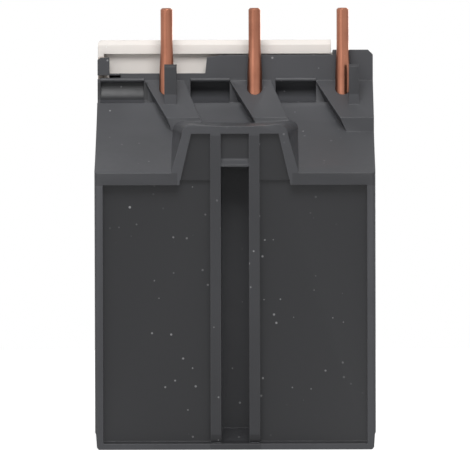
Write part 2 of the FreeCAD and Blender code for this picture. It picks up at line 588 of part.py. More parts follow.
def contact_bridge():
    """Sliding bar that moves both blades: two windows, a notch for the lever and a spring stub."""
    y0 = BLADE_Y - 2.4
    y1 = BLADE_Y + 2.4
    bar = box(-BLADE_X - 1.8, BLADE_X + 1.8, y0, y1, BRIDGE_Z0, BRIDGE_Z1)
    tools = [box(s * BLADE_X - 0.75, s * BLADE_X + 0.75, BLADE_Y - 1.4, BLADE_Y + 1.4,
                 BRIDGE_Z0 - 1, BRIDGE_Z1 + 1) for s in (-1, 1)]
    tools.append(box(LEVER_X - 0.85, LEVER_X + 0.85, BLADE_Y - 0.5, y1 + 1, BRIDGE_Z0 - 1, BRIDGE_Z1 + 1))
    tools.append(box(-BLADE_X + 5.0, MIDDLE_X - 2.5, BLADE_Y - 1.2, BLADE_Y + 1.2, BRIDGE_Z0 - 1, BRIDGE_Z1 + 1))
    return cut(bar, *tools)


BRIDGE_REST_Z = BRIDGE_Z0 - SLIDE_GAP


# ---------------------------------------------------------------- tray
SLIDER_Z0 = TRAY_TOP + SLIDE_GAP
SLIDER_T = 1.6
SLIDER_X = HALF - WALL - 1.3 - 0.4 - TRIP_TRAVEL     # leaves room for the hooks at full travel
DIFF_Z0 = SLIDER_Z0 + SLIDER_T + SLIDE_GAP
DIFF_T = 1.4
DIFF_Y0 = SLIDER_Y0 + 3.4
PEG = (LEVER_X - 3.9, SLIDER_Y0 + 1.8)
DIFF_PEG = (PEG[0], PEG[1] + 3.2)
TRAY_X = HALF - WALL - 1.7
TRAY_END_Y = SLIDER_Y1 + 1.2
SPRING_END_X = INSIDE - GAP - 0.8
CAM_Y0 = COLLAR_Y + 0.8
CAM_Y1 = CAM_Y0 + 1.7
CAM_R = 3.3           # radius of the cam where it faces the finger at rest
CAM_RISE = 0.005      # growth of that radius in mm per degree
ADJUST = (DIAL[0] + 4.3, DIAL[1] - 9.3)
STUB_R = 1.2
TRIP_PIN_R = 1.0


def mechanism_tray():
    """Tray over the terminals and poles: floor, front web with bearings, guides, boss and bridge rests."""
    floor = box(-TRAY_X, TRAY_X, COLLAR_Y + 0.1, TRAY_END_Y, TRAY_Z, TRAY_TOP)
    tab_x = HALF - WALL - GAP
    parts = [box(-tab_x, tab_x, y0 + 0.4, min(y1 - 0.4, TRAY_END_Y), TRAY_Z, TRAY_TOP) for y0, y1 in LEDGE_SPANS]
    web_x = HALF - 4.9
    parts.append(box(-web_x, web_x, WEB_Y0, WEB_Y1, TRAY_TOP - 0.5, COVER_TOP_Z - 4.4))
    guide_x = SLIDER_X + 0.4
    parts.append(box(-guide_x, guide_x, SLIDER_Y1 + SLIDE_GAP, TRAY_END_Y, TRAY_TOP - 0.5, DIFF_Z0 + DIFF_T))
    for x0, x1 in ((-guide_x, -guide_x + 7.0), (guide_x - 5.5, guide_x)):
        parts.append(box(x0, x1, SLIDER_Y0 - 1.3, SLIDER_Y0 - SLIDE_GAP, TRAY_TOP - 0.5, SLIDER_Z0 + 1.5))
    parts.append(cyl("z", LEVER_X, LEVER_Y, TRAY_TOP - 0.5, 2.2, 3.3))
    end_x = INSIDE - GAP
    parts.append(box(TRAY_X - 0.4, end_x, BLADE_Y - 2.4, BLADE_Y + 2.4, TRAY_Z, TRAY_TOP))
    parts.append(box(SPRING_END_X, end_x, BLADE_Y - 2.4, BLADE_Y + 2.4, TRAY_Z, BRIDGE_Z1 + 1.4))
    for x in (-BLADE_X + 3.0, PEG[0]):
        parts.append(box(x - 1.2, x + 1.2, BLADE_Y + 1.4, BLADE_Y + 4.2, TRAY_TOP - 0.5, BRIDGE_REST_Z))
        parts.append(box(x - 1.2, x + 1.2, BLADE_Y + 2.4 + SLIDE_GAP, BLADE_Y + 4.2, TRAY_TOP - 0.5, BRIDGE_Z1))
    tray = join(floor, *parts)
    reach = POLE_PITCH + BIMETAL_T / 2 + GAP
    tools = [box(-reach, reach + TRIP_TRAVEL, SLIDER_Y0 + 1.2, SLIDER_Y1 - 0.9, TRAY_Z - 1, TRAY_TOP + 0.1)]
    for x in AUX_X:
        tools.append(box(x - 1.5, x + 1.5, AUX_PLATE_Y - 0.3, AUX_PLATE_Y + AUX_PLATE_T + 0.3,
                         TRAY_Z - 1, TRAY_TOP + 1))
    tools.append(cyl("z", LEVER_X, LEVER_Y, TRAY_Z - 1, TRIP_PIN_R + 0.02, 10))
    for place, radius in ((DIAL, DIAL_SHAFT_R + RUN), (MODE, MODE_SHAFT_R + RUN), (RESET, STEM_R + SLIDE_GAP),
                          (STOP, STEM_R + SLIDE_GAP), (TEST, TEST_STEM_R + SLIDE_GAP)):
        tools.append(cyl("y", place[0], WEB_Y0 - 1, place[1], radius, WEB_T + 2))
    tools.append(box(WINDOW[0] - 2.2, WINDOW[0] + 1.0, WEB_Y0 - 1, WEB_Y1 + 1, BRIDGE_Z0 - 0.1, BRIDGE_Z1 + 0.1))
    stub = cyl("y", ADJUST[0], CAM_Y0 + 0.3, ADJUST[1], STUB_R, WEB_Y0 - CAM_Y0)
    collar = cyl("y", ADJUST[0], CAM_Y1 + 0.3, ADJUST[1], STUB_R + 0.7, WEB_Y0 - CAM_Y1 - 0.2)
    return join(cut(tray, *tools), stub, collar)


def main_slider():
    """Slide pushed by the bimetals, one window to each, with the pivot peg of the differential lever."""
    plate = box(-SLIDER_X, SLIDER_X, SLIDER_Y0, SLIDER_Y1, SLIDER_Z0, SLIDER_Z0 + SLIDER_T)
    tools = [box(x - BIMETAL_T / 2 - 0.3, x + BIMETAL_T / 2 + 0.3,
                 BIMETAL_Y - BIMETAL_W / 2 - 0.3, BIMETAL_Y + BIMETAL_W / 2 + 0.3, SLIDER_Z0 - 1,
                 SLIDER_Z0 + SLIDER_T + 1) for x in POLES]
    peg = cyl("z", PEG[0], PEG[1], SLIDER_Z0 + SLIDER_T - 0.5, 0.7, 4.9)
    return join(cut(plate, *tools), peg)


def differential_slider():
    """Comb above the main slide that a cold bimetal holds back, with a peg for the lever's tail."""
    plate = box(-SLIDER_X + 0.4, SLIDER_X - 0.4, DIFF_Y0, SLIDER_Y1, DIFF_Z0, DIFF_Z0 + DIFF_T)
    tools = [box(x - BIMETAL_T / 2 - 0.35, x + BIMETAL_T / 2 + 0.35 + 1.0, DIFF_Y0 - 1,
                 BIMETAL_Y + BIMETAL_W / 2 + 0.3, DIFF_Z0 - 1,
                 DIFF_Z0 + DIFF_T + 1) for x in POLES]
    peg = cyl("z", DIFF_PEG[0], DIFF_PEG[1], DIFF_Z0 + DIFF_T - 0.5, 0.5, 2.2)
    return join(cut(plate, *tools), peg)


def differential_lever():
    """Small lever on the main slide: a nose that meets the compensation strip, a forked tail."""
    px, py = PEG
    z0 = SLIDER_Z0 + SLIDER_T + SLIDE_GAP
    hub = cyl("z", px, py, z0, 1.4, 3.9)
    upper = z0 + 2.1
    nose = prism_xy([(px - 0.7, py), (px + 0.7, py), (px + 0.7, NOSE_Y + 0.6), (px + 2.2, NOSE_Y + 0.5),
                     (px + 2.2, NOSE_Y - 0.5), (px - 0.7, NOSE_Y - 0.6)], upper, upper + 1.8)
    tail = box(px - 1.2, px + 1.2, py, DIFF_PEG[1] + 1.0, upper - 0.45, upper + 0.9)
    tools = [cyl("z", px, py, z0 - 1, 0.7 + RUN, 7),
             box(px - 0.62, px + 0.62, DIFF_PEG[1] - 0.8, DIFF_PEG[1] + 2, z0 - 1, upper + 2)]
    return cut(join(hub, nose, tail), *tools)


HUB_Z0 = TRAY_TOP + 2.8 + SLIDE_GAP
HUB_Z1 = BRIDGE_Z1 + 1.0


STRIP_LOW_Z = HUB_Z0 + 1.15


def trip_lever():
    """Lever on the upright pivot: rear clip for the compensation strip, front arm into the bridge."""
    hub = cyl("z", LEVER_X, LEVER_Y, HUB_Z0, 2.6, HUB_Z1 - HUB_Z0)
    clip = box(LEVER_X - 1.5, LEVER_X + 1.5, LEVER_Y + 1.0, LEVER_Y + 6.0, HUB_Z0 + 0.4, HUB_Z1 - 2.4)
    arm = box(LEVER_X - 0.5, LEVER_X + 0.5, BLADE_Y - 0.1, LEVER_Y, BRIDGE_Z0 + 0.3, BRIDGE_Z1 - 0.3)
    tools = [cyl("z", LEVER_X, LEVER_Y, HUB_Z0 - 1, TRIP_PIN_R + RUN, 12),
             box(LEVER_X - 0.42, LEVER_X + 0.42, LEVER_Y + 2.6, LEVER_Y + 7,
                 STRIP_LOW_Z - 0.05, HUB_Z1)]
    return cut(join(hub, clip, arm), *tools)


def compensation_bimetal():
    """Strip that cancels room temperature, clipped in the trip lever and met by the differential nose."""
    return box(LEVER_X - 0.4, LEVER_X + 0.4, LEVER_Y + 2.65, NOSE_Y + 1.4,
               STRIP_LOW_Z, HUB_Z1 - 3.0)


# ---------------------------------------------------------------- front controls
def spiral_cam():
    """Cam whose radius grows evenly with angle, so equal turns give equal lifts."""
    def reach(a):
        return CAM_R + CAM_RISE * a

    points = []
    for a in range(-165, 166, 30):
        r = reach(a)
        points.append(V(DIAL[0] + r * math.cos(math.radians(a)), CAM_Y0,
                        DIAL[1] + r * math.sin(math.radians(a))))
    curve = Part.BSplineCurve()
    curve.interpolate(points)
    face = Part.Face(Part.Wire([curve.toShape(), Part.makeLine(points[-1], points[0])]))
    return face.extrude(V(0, CAM_Y1 - CAM_Y0, 0))


def setting_dial():
    """Current dial: knob with a screwdriver slot and pointer, collar behind the panel, cam and shaft."""
    x, z = DIAL
    face_y = BUTTON_FACE_Y + 0.2
    knob = cyl("y", x, face_y, z, DIAL_R, COLLAR_Y + 0.4 - face_y)
    knob = knob.makeChamfer(0.5, [e for e in knob.Edges if e.BoundBox.YMax < face_y + 0.01])
    collar = cyl("y", x, COLLAR_Y, z, DIAL_R + 1.0, COLLAR_T - 0.1)
    shaft = cyl("y", x, CAM_Y0, z, DIAL_SHAFT_R, WEB_Y1 - CAM_Y0 - GAP)
    tools = [box(x - 3.6, x + 3.6, face_y - 1, face_y + 1.3, z - 0.6, z + 0.6),
             box(x - 0.6, x + 0.6, face_y - 1, face_y + 1.3, z - 3.6, z + 3.6),
             prism_xz([(x - 0.8, z + 4.1), (x + 0.8, z + 4.1), (x, z + DIAL_R - 0.2)], face_y - 1, face_y + 0.5)]
    return join(cut(join(knob, collar), *tools), shaft, spiral_cam())


def adjustment_lever():
    """Follower on its own stub: a finger rides the cam and sets the trip distance."""
    x, z = ADJUST
    y0 = CAM_Y0 + 0.4
    t = CAM_Y1 - 0.1 - y0
    finger_r = 1.0
    hub = cyl("y", x, y0, z, STUB_R + 0.9, t)
    finger_x = DIAL[0] + CAM_R + 0.15 + finger_r
    bar = prism_xz([(x - 1.0, z), (x + 1.0, z), (finger_x + 0.9, DIAL[1] + 1.5), (finger_x - 0.5, DIAL[1] + 1.5)],
                   y0, y0 + t)
    finger = cyl("y", finger_x, y0, DIAL[1], finger_r, t)
    bore = cyl("y", x, y0 - 1, z, STUB_R + RUN, t + 2)
    return cut(join(hub, bar, finger), bore)


def guide_stem(place, radius):
    """Stem behind a button, long enough to stay in the web at full travel."""
    start = COLLAR_Y + COLLAR_T - 0.1
    return cyl("y", place[0], start, place[1], radius, WEB_Y1 + 1.2 - start)


def reset_button():
    """Rectangular push button with a stop flange and a guide stem."""
    x, z = RESET
    half_x = RESET_HALF_X
    half_z = RESET_HALF_Z
    cap = box(x - half_x, x + half_x, BUTTON_FACE_Y, COLLAR_Y + 0.4, z - half_z, z + half_z)
    front = [e for e in cap.Edges if e.BoundBox.YMax < BUTTON_FACE_Y + 0.01]
    cap = cap.makeChamfer(0.4, front)
    flange = box(x - half_x - 0.8, x + half_x + 0.8, COLLAR_Y, COLLAR_Y + COLLAR_T,
                 z - half_z - 0.8, z + half_z + 0.8)
    return join(cap, flange, guide_stem(RESET, STEM_R))


def round_button(place, cap_r, stem_r, face_y):
    """Round push button with a stop flange and a guide stem."""
    x, z = place
    cap = cyl("y", x, face_y, z, cap_r, COLLAR_Y + 0.4 - face_y)
    cap = cap.makeChamfer(0.3, [e for e in cap.Edges if e.BoundBox.YMax < face_y + 0.01])
    flange = cyl("y", x, COLLAR_Y, z, cap_r + 0.8, COLLAR_T)
    return join(cap, flange, guide_stem(place, stem_r))


def mode_selector():
    """Quarter-turn selector with a driver slot."""
    x, z = MODE
    face_y = BUTTON_FACE_Y + 0.6
    knob = cyl("y", x, face_y, z, MODE_R, COLLAR_Y + 0.4 - face_y)
    knob = knob.makeChamfer(0.3, [e for e in knob.Edges if e.BoundBox.YMax < face_y + 0.01])
    collar = cyl("y", x, COLLAR_Y, z, MODE_R + 0.7, COLLAR_T - 0.1)
    shaft = cyl("y", x, CAM_Y0, z, MODE_SHAFT_R, WEB_Y1 - CAM_Y0 - GAP)
    slot = box(x - 2.0, x + 2.0, face_y - 1, face_y + 1.0, z - 0.4, z + 0.4)
    return join(cut(join(knob, collar), slot), shaft)


def trip_flag():
    """Indicator plate behind the window, on an arm from the contact bridge."""
    x, z = WINDOW
    plate_y = COLLAR_Y + 0.1
    plate = box(x - 3.4, x + 3.4, plate_y, plate_y + 0.6, z - 1.9, z + 1.9)
    arm = box(x - 0.6, x + 0.6, plate_y + 0.5, BLADE_Y - 2.4 - SEAT, BRIDGE_Z0 + GAP, BRIDGE_Z1 - GAP)
    return join(plate, arm)


HINGE_X = -HALF + 1.3
HINGE_Y = Y_FRONT + 1.0
HINGE_R = 1.0
HINGE_PIN_R = 0.5
LUG_T = 2.0
LUG_Z = (SEAM_Z + 4.6, COVER_TOP_Z - 6.6)     # undersides of the two hinge lugs
BARREL_Z0 = LUG_Z[0] + LUG_T + 0.6
BARREL_Z1 = LUG_Z[1] - 0.6


def front_cover():
    """Light cover: stepped roof, sides, sunk front panel with its openings, rear skirt, hooks, hinge lugs."""
    z0 = SEAM_Z + SEAT
    y1 = WALL_FRONT_Y - GAP
    outline = [(RIM_Y, z0), (RIM_Y, COVER_TOP_Z - 1.4), (RIM_Y + 1.4, COVER_TOP_Z), (y1 - 0.8, COVER_TOP_Z),
               (y1, COVER_TOP_Z - 0.8), (y1, z0)]
    body = prism_yz(outline, -HALF, HALF)
    body = rounded(body, 0.7, lambda a, b: a.z > COVER_TOP_Z - 0.01 and b.z > COVER_TOP_Z - 0.01
                   and abs(a.x - b.x) < 0.01 and a.x > 0)
    back_z = CUT_TOP_Z - 0.2
    wall_y = y1 - SHELL
    tools = [box(-HALF - 1, STEP_X, Y_FRONT, y1 + 1, STEP_Z, COVER_TOP_Z + 1),
             box(STEP_X + SHELL, INSIDE, PANEL_Y + SHELL, wall_y, z0 - 1, COVER_TOP_Z - SHELL),
             box(-INSIDE, STEP_X + SHELL + 1, PANEL_Y + SHELL, wall_y, z0 - 1, STEP_Z - SHELL),
             box(-INSIDE, INSIDE, wall_y - 1, y1 + 1, z0 - 1, back_z),
             box(-HALF + 2.0, HALF - 2.0, RIM_Y - 1, PANEL_Y, SEAM_Z + 2.0, PANEL_TOP_Z),
             box(-HALF - 1, STEP_X, WALL_FRONT_Y - BLOCK_DEPTH - GAP, y1 + 1, BLOCK_TOP_Z - 2.8 - GAP,
                 COVER_TOP_Z + 1),
             box(STEP_X, HALF - 1.0, y1 - 1.0, y1 + 1, back_z - 1, WALL_TOP_Z + 0.2)]
    for place, radius in ((DIAL, DIAL_R), (STOP, STOP_R), (TEST, TEST_R), (MODE, MODE_R)):
        tools.append(cyl("y", place[0], PANEL_Y - 1, place[1], radius + PANEL_GAP, 4))
    for place, half_x, half_z in ((RESET, RESET_HALF_X + PANEL_GAP, RESET_HALF_Z + PANEL_GAP), (WINDOW, 2.0, 1.3)):
        tools.append(box(place[0] - half_x, place[0] + half_x, PANEL_Y - 1, PANEL_Y + 3,
                         place[1] - half_z, place[1] + half_z))
    for i in range(9):
        mark = box(DIAL_R + 1.0, DIAL_R + 2.4, PANEL_Y - 1, PANEL_Y + 0.4, -0.2, 0.2)
        mark.rotate(V(0, 0, 0), V(0, -1, 0), i * 30 - 30)
        mark.translate(V(DIAL[0], 0, DIAL[1]))
        tools.append(mark)
    groove_z = BARREL_Z0 - 0.4
    tools.append(cyl("z", HINGE_X, HINGE_Y, groove_z, HINGE_R + GAP, BARREL_Z1 + 0.4 - groove_z))
    body = cut(body, *tools)
    extras = []
    for z in LUG_Z:
        extras.append(cyl("z", HINGE_X, HINGE_Y, z, HINGE_R, LUG_T))
        extras.append(box(HINGE_X - HINGE_R, HINGE_X + HINGE_R, HINGE_Y, RIM_Y + 0.3, z, z + LUG_T))
    wide = HOOK_W / 2
    for s in (-1, 1):
        inner = HALF - WALL - 0.2 - HOOK_T
        for y in HOOK_Y:
            a, b = sorted((s * (inner + HOOK_T), s * inner))
            extras.append(box(a, b, y - wide, y + wide, HOOK_Z0 - 1.0, z0 + 3.0))
            a, b = sorted((s * (INSIDE + 0.3), s * inner))
            extras.append(box(a, b, y - wide, y + wide, z0 + 0.3, z0 + 3.0))
            edge = s * (HALF - WALL - 0.3)
            nib = [(edge, HOOK_Z0 + 0.2), (s * (HALF - WALL + 1.0), HOOK_Z1 - 0.3), (edge, HOOK_Z1 - 0.3)]
            extras.append(prism_xz(nib, y - wide, y + wide))
    body = join(body, *extras)
    return cut(body, *[cyl("z", HINGE_X, HINGE_Y, z - 0.1, HINGE_PIN_R + RUN, LUG_T + 0.2) for z in LUG_Z])


def clear_cover():
    """Transparent flap with its hinge barrel, stub pins and finger lip."""
    y0 = Y_FRONT
    y1 = Y_FRONT + CLEAR_T
    right = HALF - 0.7
    plate = box(HINGE_X + HINGE_R + GAP, right, y0, y1, SEAM_Z + 1.4, STEP_Z - 0.4)
    plate = rounded(plate, 0.8, lambda a, b: abs(a.x - right) < 0.01 and abs(b.x - right) < 0.01
                    and abs(a.z - b.z) < 0.01)
    strap = box(HINGE_X, HINGE_X + HINGE_R + GAP + 0.1, y0, y1, BARREL_Z0, BARREL_Z1)
    barrel = cyl("z", HINGE_X, HINGE_Y, BARREL_Z0, HINGE_R, BARREL_Z1 - BARREL_Z0)
    pin_z = LUG_Z[0] + 0.2
    pins = cyl("z", HINGE_X, HINGE_Y, pin_z, HINGE_PIN_R, LUG_Z[1] + LUG_T - 0.2 - pin_z)
    return join(plate, strap, barrel, pins)


# ---------------------------------------------------------------- write every node
save("rear_housing", rear_housing())
save("front_cover", front_cover())
save("clear_cover", clear_cover())
save("power_terminal_block", power_terminal_block())
save("aux_terminal_block", aux_terminal_block())
save("mechanism_tray", mechanism_tray())
for n, (x, x_pin) in enumerate(zip(POLES, PINS), 1):
    save("pin_conductor_%d" % n, pin_conductor(x, x_pin))
    save("heater_winding_%d" % n, heater(x))
    save("bimetal_%d" % n, bimetal(x))
    save("load_conductor_%d" % n, load_conductor(x))
    save("power_screw_%d" % n, screw(x, POWER_SCREW_Z, POWER_CLAMP_Y - POWER_HEAD_T - SEAT, POWER_HEAD_R,
                                     POWER_HEAD_T, POWER_SCREW_R, POWER_PLATE_Y + 2.3))
    save("power_clamp_%d" % n, clamp(x, POWER_SCREW_Z, POWER_CLAMP_Y, POWER_CLAMP_T, 4.4, 5.6,
                                     POWER_SCREW_R + 0.1))
for n, x in enumerate(AUX_X, 1):
    save("aux_screw_%d" % n, screw(x, AUX_SCREW_Z, AUX_CLAMP_Y - AUX_HEAD_T - SEAT, AUX_HEAD_R, AUX_HEAD_T,
                                   AUX_SCREW_R, AUX_PLATE_Y + 1.9))
    save("aux_clamp_%d" % n, clamp(x, AUX_SCREW_Z, AUX_CLAMP_Y, AUX_CLAMP_T, 3.3, 4.0, AUX_SCREW_R + 0.1))
CLOSED_GAP = 0.06
OPEN_GAP = 1.05
NC_TIP_X = BLADE_X + 1.4
NO_TIP_X = -BLADE_X - 1.9
save("nc_fixed_contact", fixed_contact(AUX_X[0], NC_TIP_X))
save("nc_blade_terminal", blade_terminal(AUX_X[1], BLADE_X))
save("nc_blade", moving_blade(BLADE_X, NC_TIP_X - CLOSED_GAP))
save("no_blade_terminal", blade_terminal(AUX_X[2], -BLADE_X))
save("no_blade", moving_blade(-BLADE_X, NO_TIP_X + OPEN_GAP))
save("no_fixed_contact", fixed_contact(AUX_X[3], NO_TIP_X))
save("contact_bridge", contact_bridge())
save("main_slider", main_slider())
save("differential_slider", differential_slider())
save("differential_lever", differential_lever())
save("trip_lever", trip_lever())
save("compensation_bimetal", compensation_bimetal())
save("trip_pivot_pin", cyl("z", LEVER_X, LEVER_Y, TRAY_Z + 0.1, TRIP_PIN_R, HUB_Z1 + 1.1 - TRAY_Z - 0.1))
save("setting_dial", setting_dial())
save("adjustment_lever", adjustment_lever())
save("reset_button", reset_button())
save("stop_button", round_button(STOP, STOP_R, STEM_R, BUTTON_FACE_Y))
save("test_button", round_button(TEST, TEST_R, TEST_STEM_R, BUTTON_FACE_Y + 1.2))
save("mode_selector", mode_selector())
save("trip_flag", trip_flag())
SPRING_Y0 = COLLAR_Y + COLLAR_T + SEAT
SPRING_L = WEB_Y0 - SPRING_Y0 - 0.05
save("reset_spring", coil("y", (RESET[0], SPRING_Y0 + 0.3, RESET[1]), 2.2, 0.3, 3.5, SPRING_L - 0.6))
save("stop_spring", coil("y", (STOP[0], SPRING_Y0 + 0.3, STOP[1]), 2.2, 0.3, 3.5, SPRING_L - 0.6))
save("test_spring", coil("y", (TEST[0], SPRING_Y0 + 0.3, TEST[1]), 1.5, 0.25, 3.5, SPRING_L - 0.6))
save("trip_spring", coil("x", (BLADE_X + 1.8 + 0.3, BLADE_Y, (BRIDGE_Z0 + BRIDGE_Z1) / 2), 1.1, 0.22, 3.5,
                         SPRING_END_X - BLADE_X - 1.8 - 0.6))
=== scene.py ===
"""Looks for a three-pole thermal overload relay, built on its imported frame."""
import json
import math

import bmesh
import bpy
import numpy as np
from bpy.props import FloatProperty, FloatVectorProperty, IntProperty, PointerProperty
from mathutils import Euler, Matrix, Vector

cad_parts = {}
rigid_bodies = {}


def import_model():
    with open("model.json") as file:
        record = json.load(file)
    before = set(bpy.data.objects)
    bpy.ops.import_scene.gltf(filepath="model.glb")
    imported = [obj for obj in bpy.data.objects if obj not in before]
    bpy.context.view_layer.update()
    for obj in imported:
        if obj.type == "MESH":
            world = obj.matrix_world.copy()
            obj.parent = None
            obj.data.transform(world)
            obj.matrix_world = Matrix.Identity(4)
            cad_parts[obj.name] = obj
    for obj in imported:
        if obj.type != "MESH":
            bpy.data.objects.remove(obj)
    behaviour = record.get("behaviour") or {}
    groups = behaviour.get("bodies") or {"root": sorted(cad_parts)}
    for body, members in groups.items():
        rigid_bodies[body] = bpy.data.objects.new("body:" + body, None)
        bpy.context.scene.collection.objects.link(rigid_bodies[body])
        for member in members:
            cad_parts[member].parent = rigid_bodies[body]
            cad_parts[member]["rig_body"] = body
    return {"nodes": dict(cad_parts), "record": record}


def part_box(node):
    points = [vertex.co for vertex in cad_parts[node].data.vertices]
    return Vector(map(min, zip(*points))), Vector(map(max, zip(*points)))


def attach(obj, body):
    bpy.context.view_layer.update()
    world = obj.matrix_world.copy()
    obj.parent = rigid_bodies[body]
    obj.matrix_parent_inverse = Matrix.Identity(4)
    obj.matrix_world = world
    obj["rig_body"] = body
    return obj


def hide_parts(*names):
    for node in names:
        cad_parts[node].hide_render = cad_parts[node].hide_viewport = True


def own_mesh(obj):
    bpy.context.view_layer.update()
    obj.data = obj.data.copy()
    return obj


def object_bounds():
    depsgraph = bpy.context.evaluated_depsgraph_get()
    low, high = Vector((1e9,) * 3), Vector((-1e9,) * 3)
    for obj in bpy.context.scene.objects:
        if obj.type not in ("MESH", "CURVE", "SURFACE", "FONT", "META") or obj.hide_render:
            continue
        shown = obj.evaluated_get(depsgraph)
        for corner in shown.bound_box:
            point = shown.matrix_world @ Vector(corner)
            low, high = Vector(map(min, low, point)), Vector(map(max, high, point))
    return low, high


bl_info = {
    "name": "Overload relay dresser",
    "version": (1, 0, 0),
    "blender": (4, 5, 0),
    "location": "View3D > Sidebar > Relay",
    "description": "Dresses the packed frame of a thermal overload relay: mouldings, metals and lights",
    "category": "Object",
}

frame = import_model()
CAD_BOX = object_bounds()
NODES = frame["nodes"]
SLOTS = {part["node"]: part["material_slot"] for part in frame["record"]["subparts"]}
JOINTS = {joint["name"]: joint for joint in frame["record"]["behaviour"]["joints"]}

MM = 0.001
REAR_Y = CAD_BOX[1][1]          # rear plane of the housing
HALF_WIDTH = CAD_BOX[1][0]
SHOULDER_Z = 44.3 * MM          # top of the vertical rear face
WALL_Y = REAR_Y - 17.0 * MM     # rear face of the upper wall
LIP_Z = 55.7 * MM               # floor of the pockets in the slope
POCKET_TOP_Z = 59.2 * MM        # upper edge of the pockets
PANEL_Y = CAD_BOX[0][1] + 3.5 * MM      # face of the sunk front panel
WHITE = (1.0, 1.0, 1.0, 1.0)


# ------------------------------------------------------------------ shader maths
class Value:
    """A shader socket that can be used in Python expressions; numbers go through Math nodes."""

    def __init__(self, shader, socket):
        self.shader = shader
        self.socket = socket

    def maths(self, operation, *inputs):
        """A Math node on values and numbers."""
        return self.shader.node("ShaderNodeMath", {"operation": operation}, dict(enumerate(inputs)))

    def __add__(self, other):
        return self.maths("ADD", self, other)

    def __radd__(self, other):
        return self.maths("ADD", other, self)

    def __sub__(self, other):
        return self.maths("SUBTRACT", self, other)

    def __rsub__(self, other):
        return self.maths("SUBTRACT", other, self)

    def __mul__(self, other):
        return self.maths("MULTIPLY", self, other)

    def __gt__(self, other):
        return self.maths("GREATER_THAN", self, other)

    def __lt__(self, other):
        return self.maths("LESS_THAN", self, other)

    def __abs__(self):
        return self.maths("ABSOLUTE", self)

    def most(self, other):
        """The larger of the two."""
        return self.maths("MAXIMUM", self, other)

    def between(self, low, high):
        """1 between low and high, 0 outside."""
        return (self > low) * (self < high)


class Shader:
    """The node tree of a material or a world under construction."""

    def __init__(self, owner):
        self.owner = owner
        owner.use_nodes = True
        self.tree = owner.node_tree
        self.tree.nodes.clear()

    def node(self, kind, settings=None, inputs=None, out=0):
        """Add a node: settings first, then values or links on its sockets."""
        made = self.tree.nodes.new(kind)
        for key, value in (settings or {}).items():
            setattr(made, key, value)
        for key, value in (inputs or {}).items():
            if isinstance(value, Value):
                self.tree.links.new(value.socket, made.inputs[key])
            else:
                made.inputs[key].default_value = value
        return Value(self, made.outputs[out])

    def place(self):
        """Object coordinates."""
        return self.node("ShaderNodeTexCoord", out="Object")

    def coordinates(self):
        """The three object coordinates, one by one."""
        split = self.node("ShaderNodeSeparateXYZ", None, {0: self.place()}).socket.node
        return [Value(self, socket) for socket in split.outputs]

    def noise(self, scale, detail=2.0, roughness=0.5, vector=None):
        """Smooth noise between 0 and 1."""
        return self.node("ShaderNodeTexNoise", None, {
            "Vector": vector or self.place(), "Scale": scale, "Detail": detail, "Roughness": roughness})

    def ramp(self, value, low, high):
        """0 below low, 1 above high, smooth between."""
        return self.node("ShaderNodeMapRange", {"interpolation_type": "SMOOTHSTEP"}, {
            "Value": value, "From Min": low, "From Max": high})

    def mix(self, factor, a, b):
        """Colour a turning into colour b."""
        return self.node("ShaderNodeMix", {"data_type": "RGBA"}, {0: factor, 6: a, 7: b}, out=2)

    def rounded(self, radius):
        """The surface's normal with its corners rounded."""
        return self.node("ShaderNodeBevel", {"samples": 4}, {"Radius": radius})

    def edges(self, radius):
        """1 on corners: where a rounded normal leaves the face's own normal."""
        flat = self.node("ShaderNodeNewGeometry", out="Normal")
        dot = self.node("ShaderNodeVectorMath", {"operation": "DOT_PRODUCT"},
                        {0: self.rounded(radius), 1: flat}, out="Value")
        return self.ramp(1.0 - dot, 0.02, 0.30)

    def specks(self, scale, share, size):
        """Small round specks: a share of the cells of a cell pattern holds one each."""
        cell = {"Vector": self.place(), "Scale": scale}
        away = self.node("ShaderNodeTexVoronoi", None, cell, out="Distance")
        colour = Value(self, away.socket.node.outputs["Color"])
        pick = self.node("ShaderNodeSeparateColor", None, {0: colour})
        return (away < size) * (pick > 1.0 - share)

    def bump(self, height, strength, distance, corner=None):
        """Bump normal from a height, over corners rounded by a radius."""
        inputs = {"Height": height, "Strength": strength, "Distance": distance}
        if corner:
            inputs["Normal"] = self.rounded(corner)
        return self.node("ShaderNodeBump", None, inputs)

    def seen(self):
        """1 for rays from the eye and for those that gloss or glass sends on, 0 for other light."""
        rays = ("Is Camera Ray", "Is Transmission Ray", "Is Glossy Ray")
        camera, glass, gloss = (self.node("ShaderNodeLightPath", out=ray) for ray in rays)
        return camera.most(glass).most(gloss)

    def surface(self, **inputs):
        """Finish with the Principled shader; an underscore stands for a space in an input's name."""
        named = {key.replace("_", " "): value for key, value in inputs.items()}
        return self.finish(self.node("ShaderNodeBsdfPrincipled", None, named, out="BSDF"))

    def finish(self, shader, kind="ShaderNodeOutputMaterial"):
        """Link a shader to the output and give back the material or world."""
        made = self.tree.nodes.new(kind)
        self.tree.links.new(shader.socket, made.inputs["Surface"])
        return self.owner


def rgba(colour, gain=1.0):
    """Colour with an alpha of one, brightened by gain."""
    return (colour[0] * gain, colour[1] * gain, colour[2] * gain, 1.0)
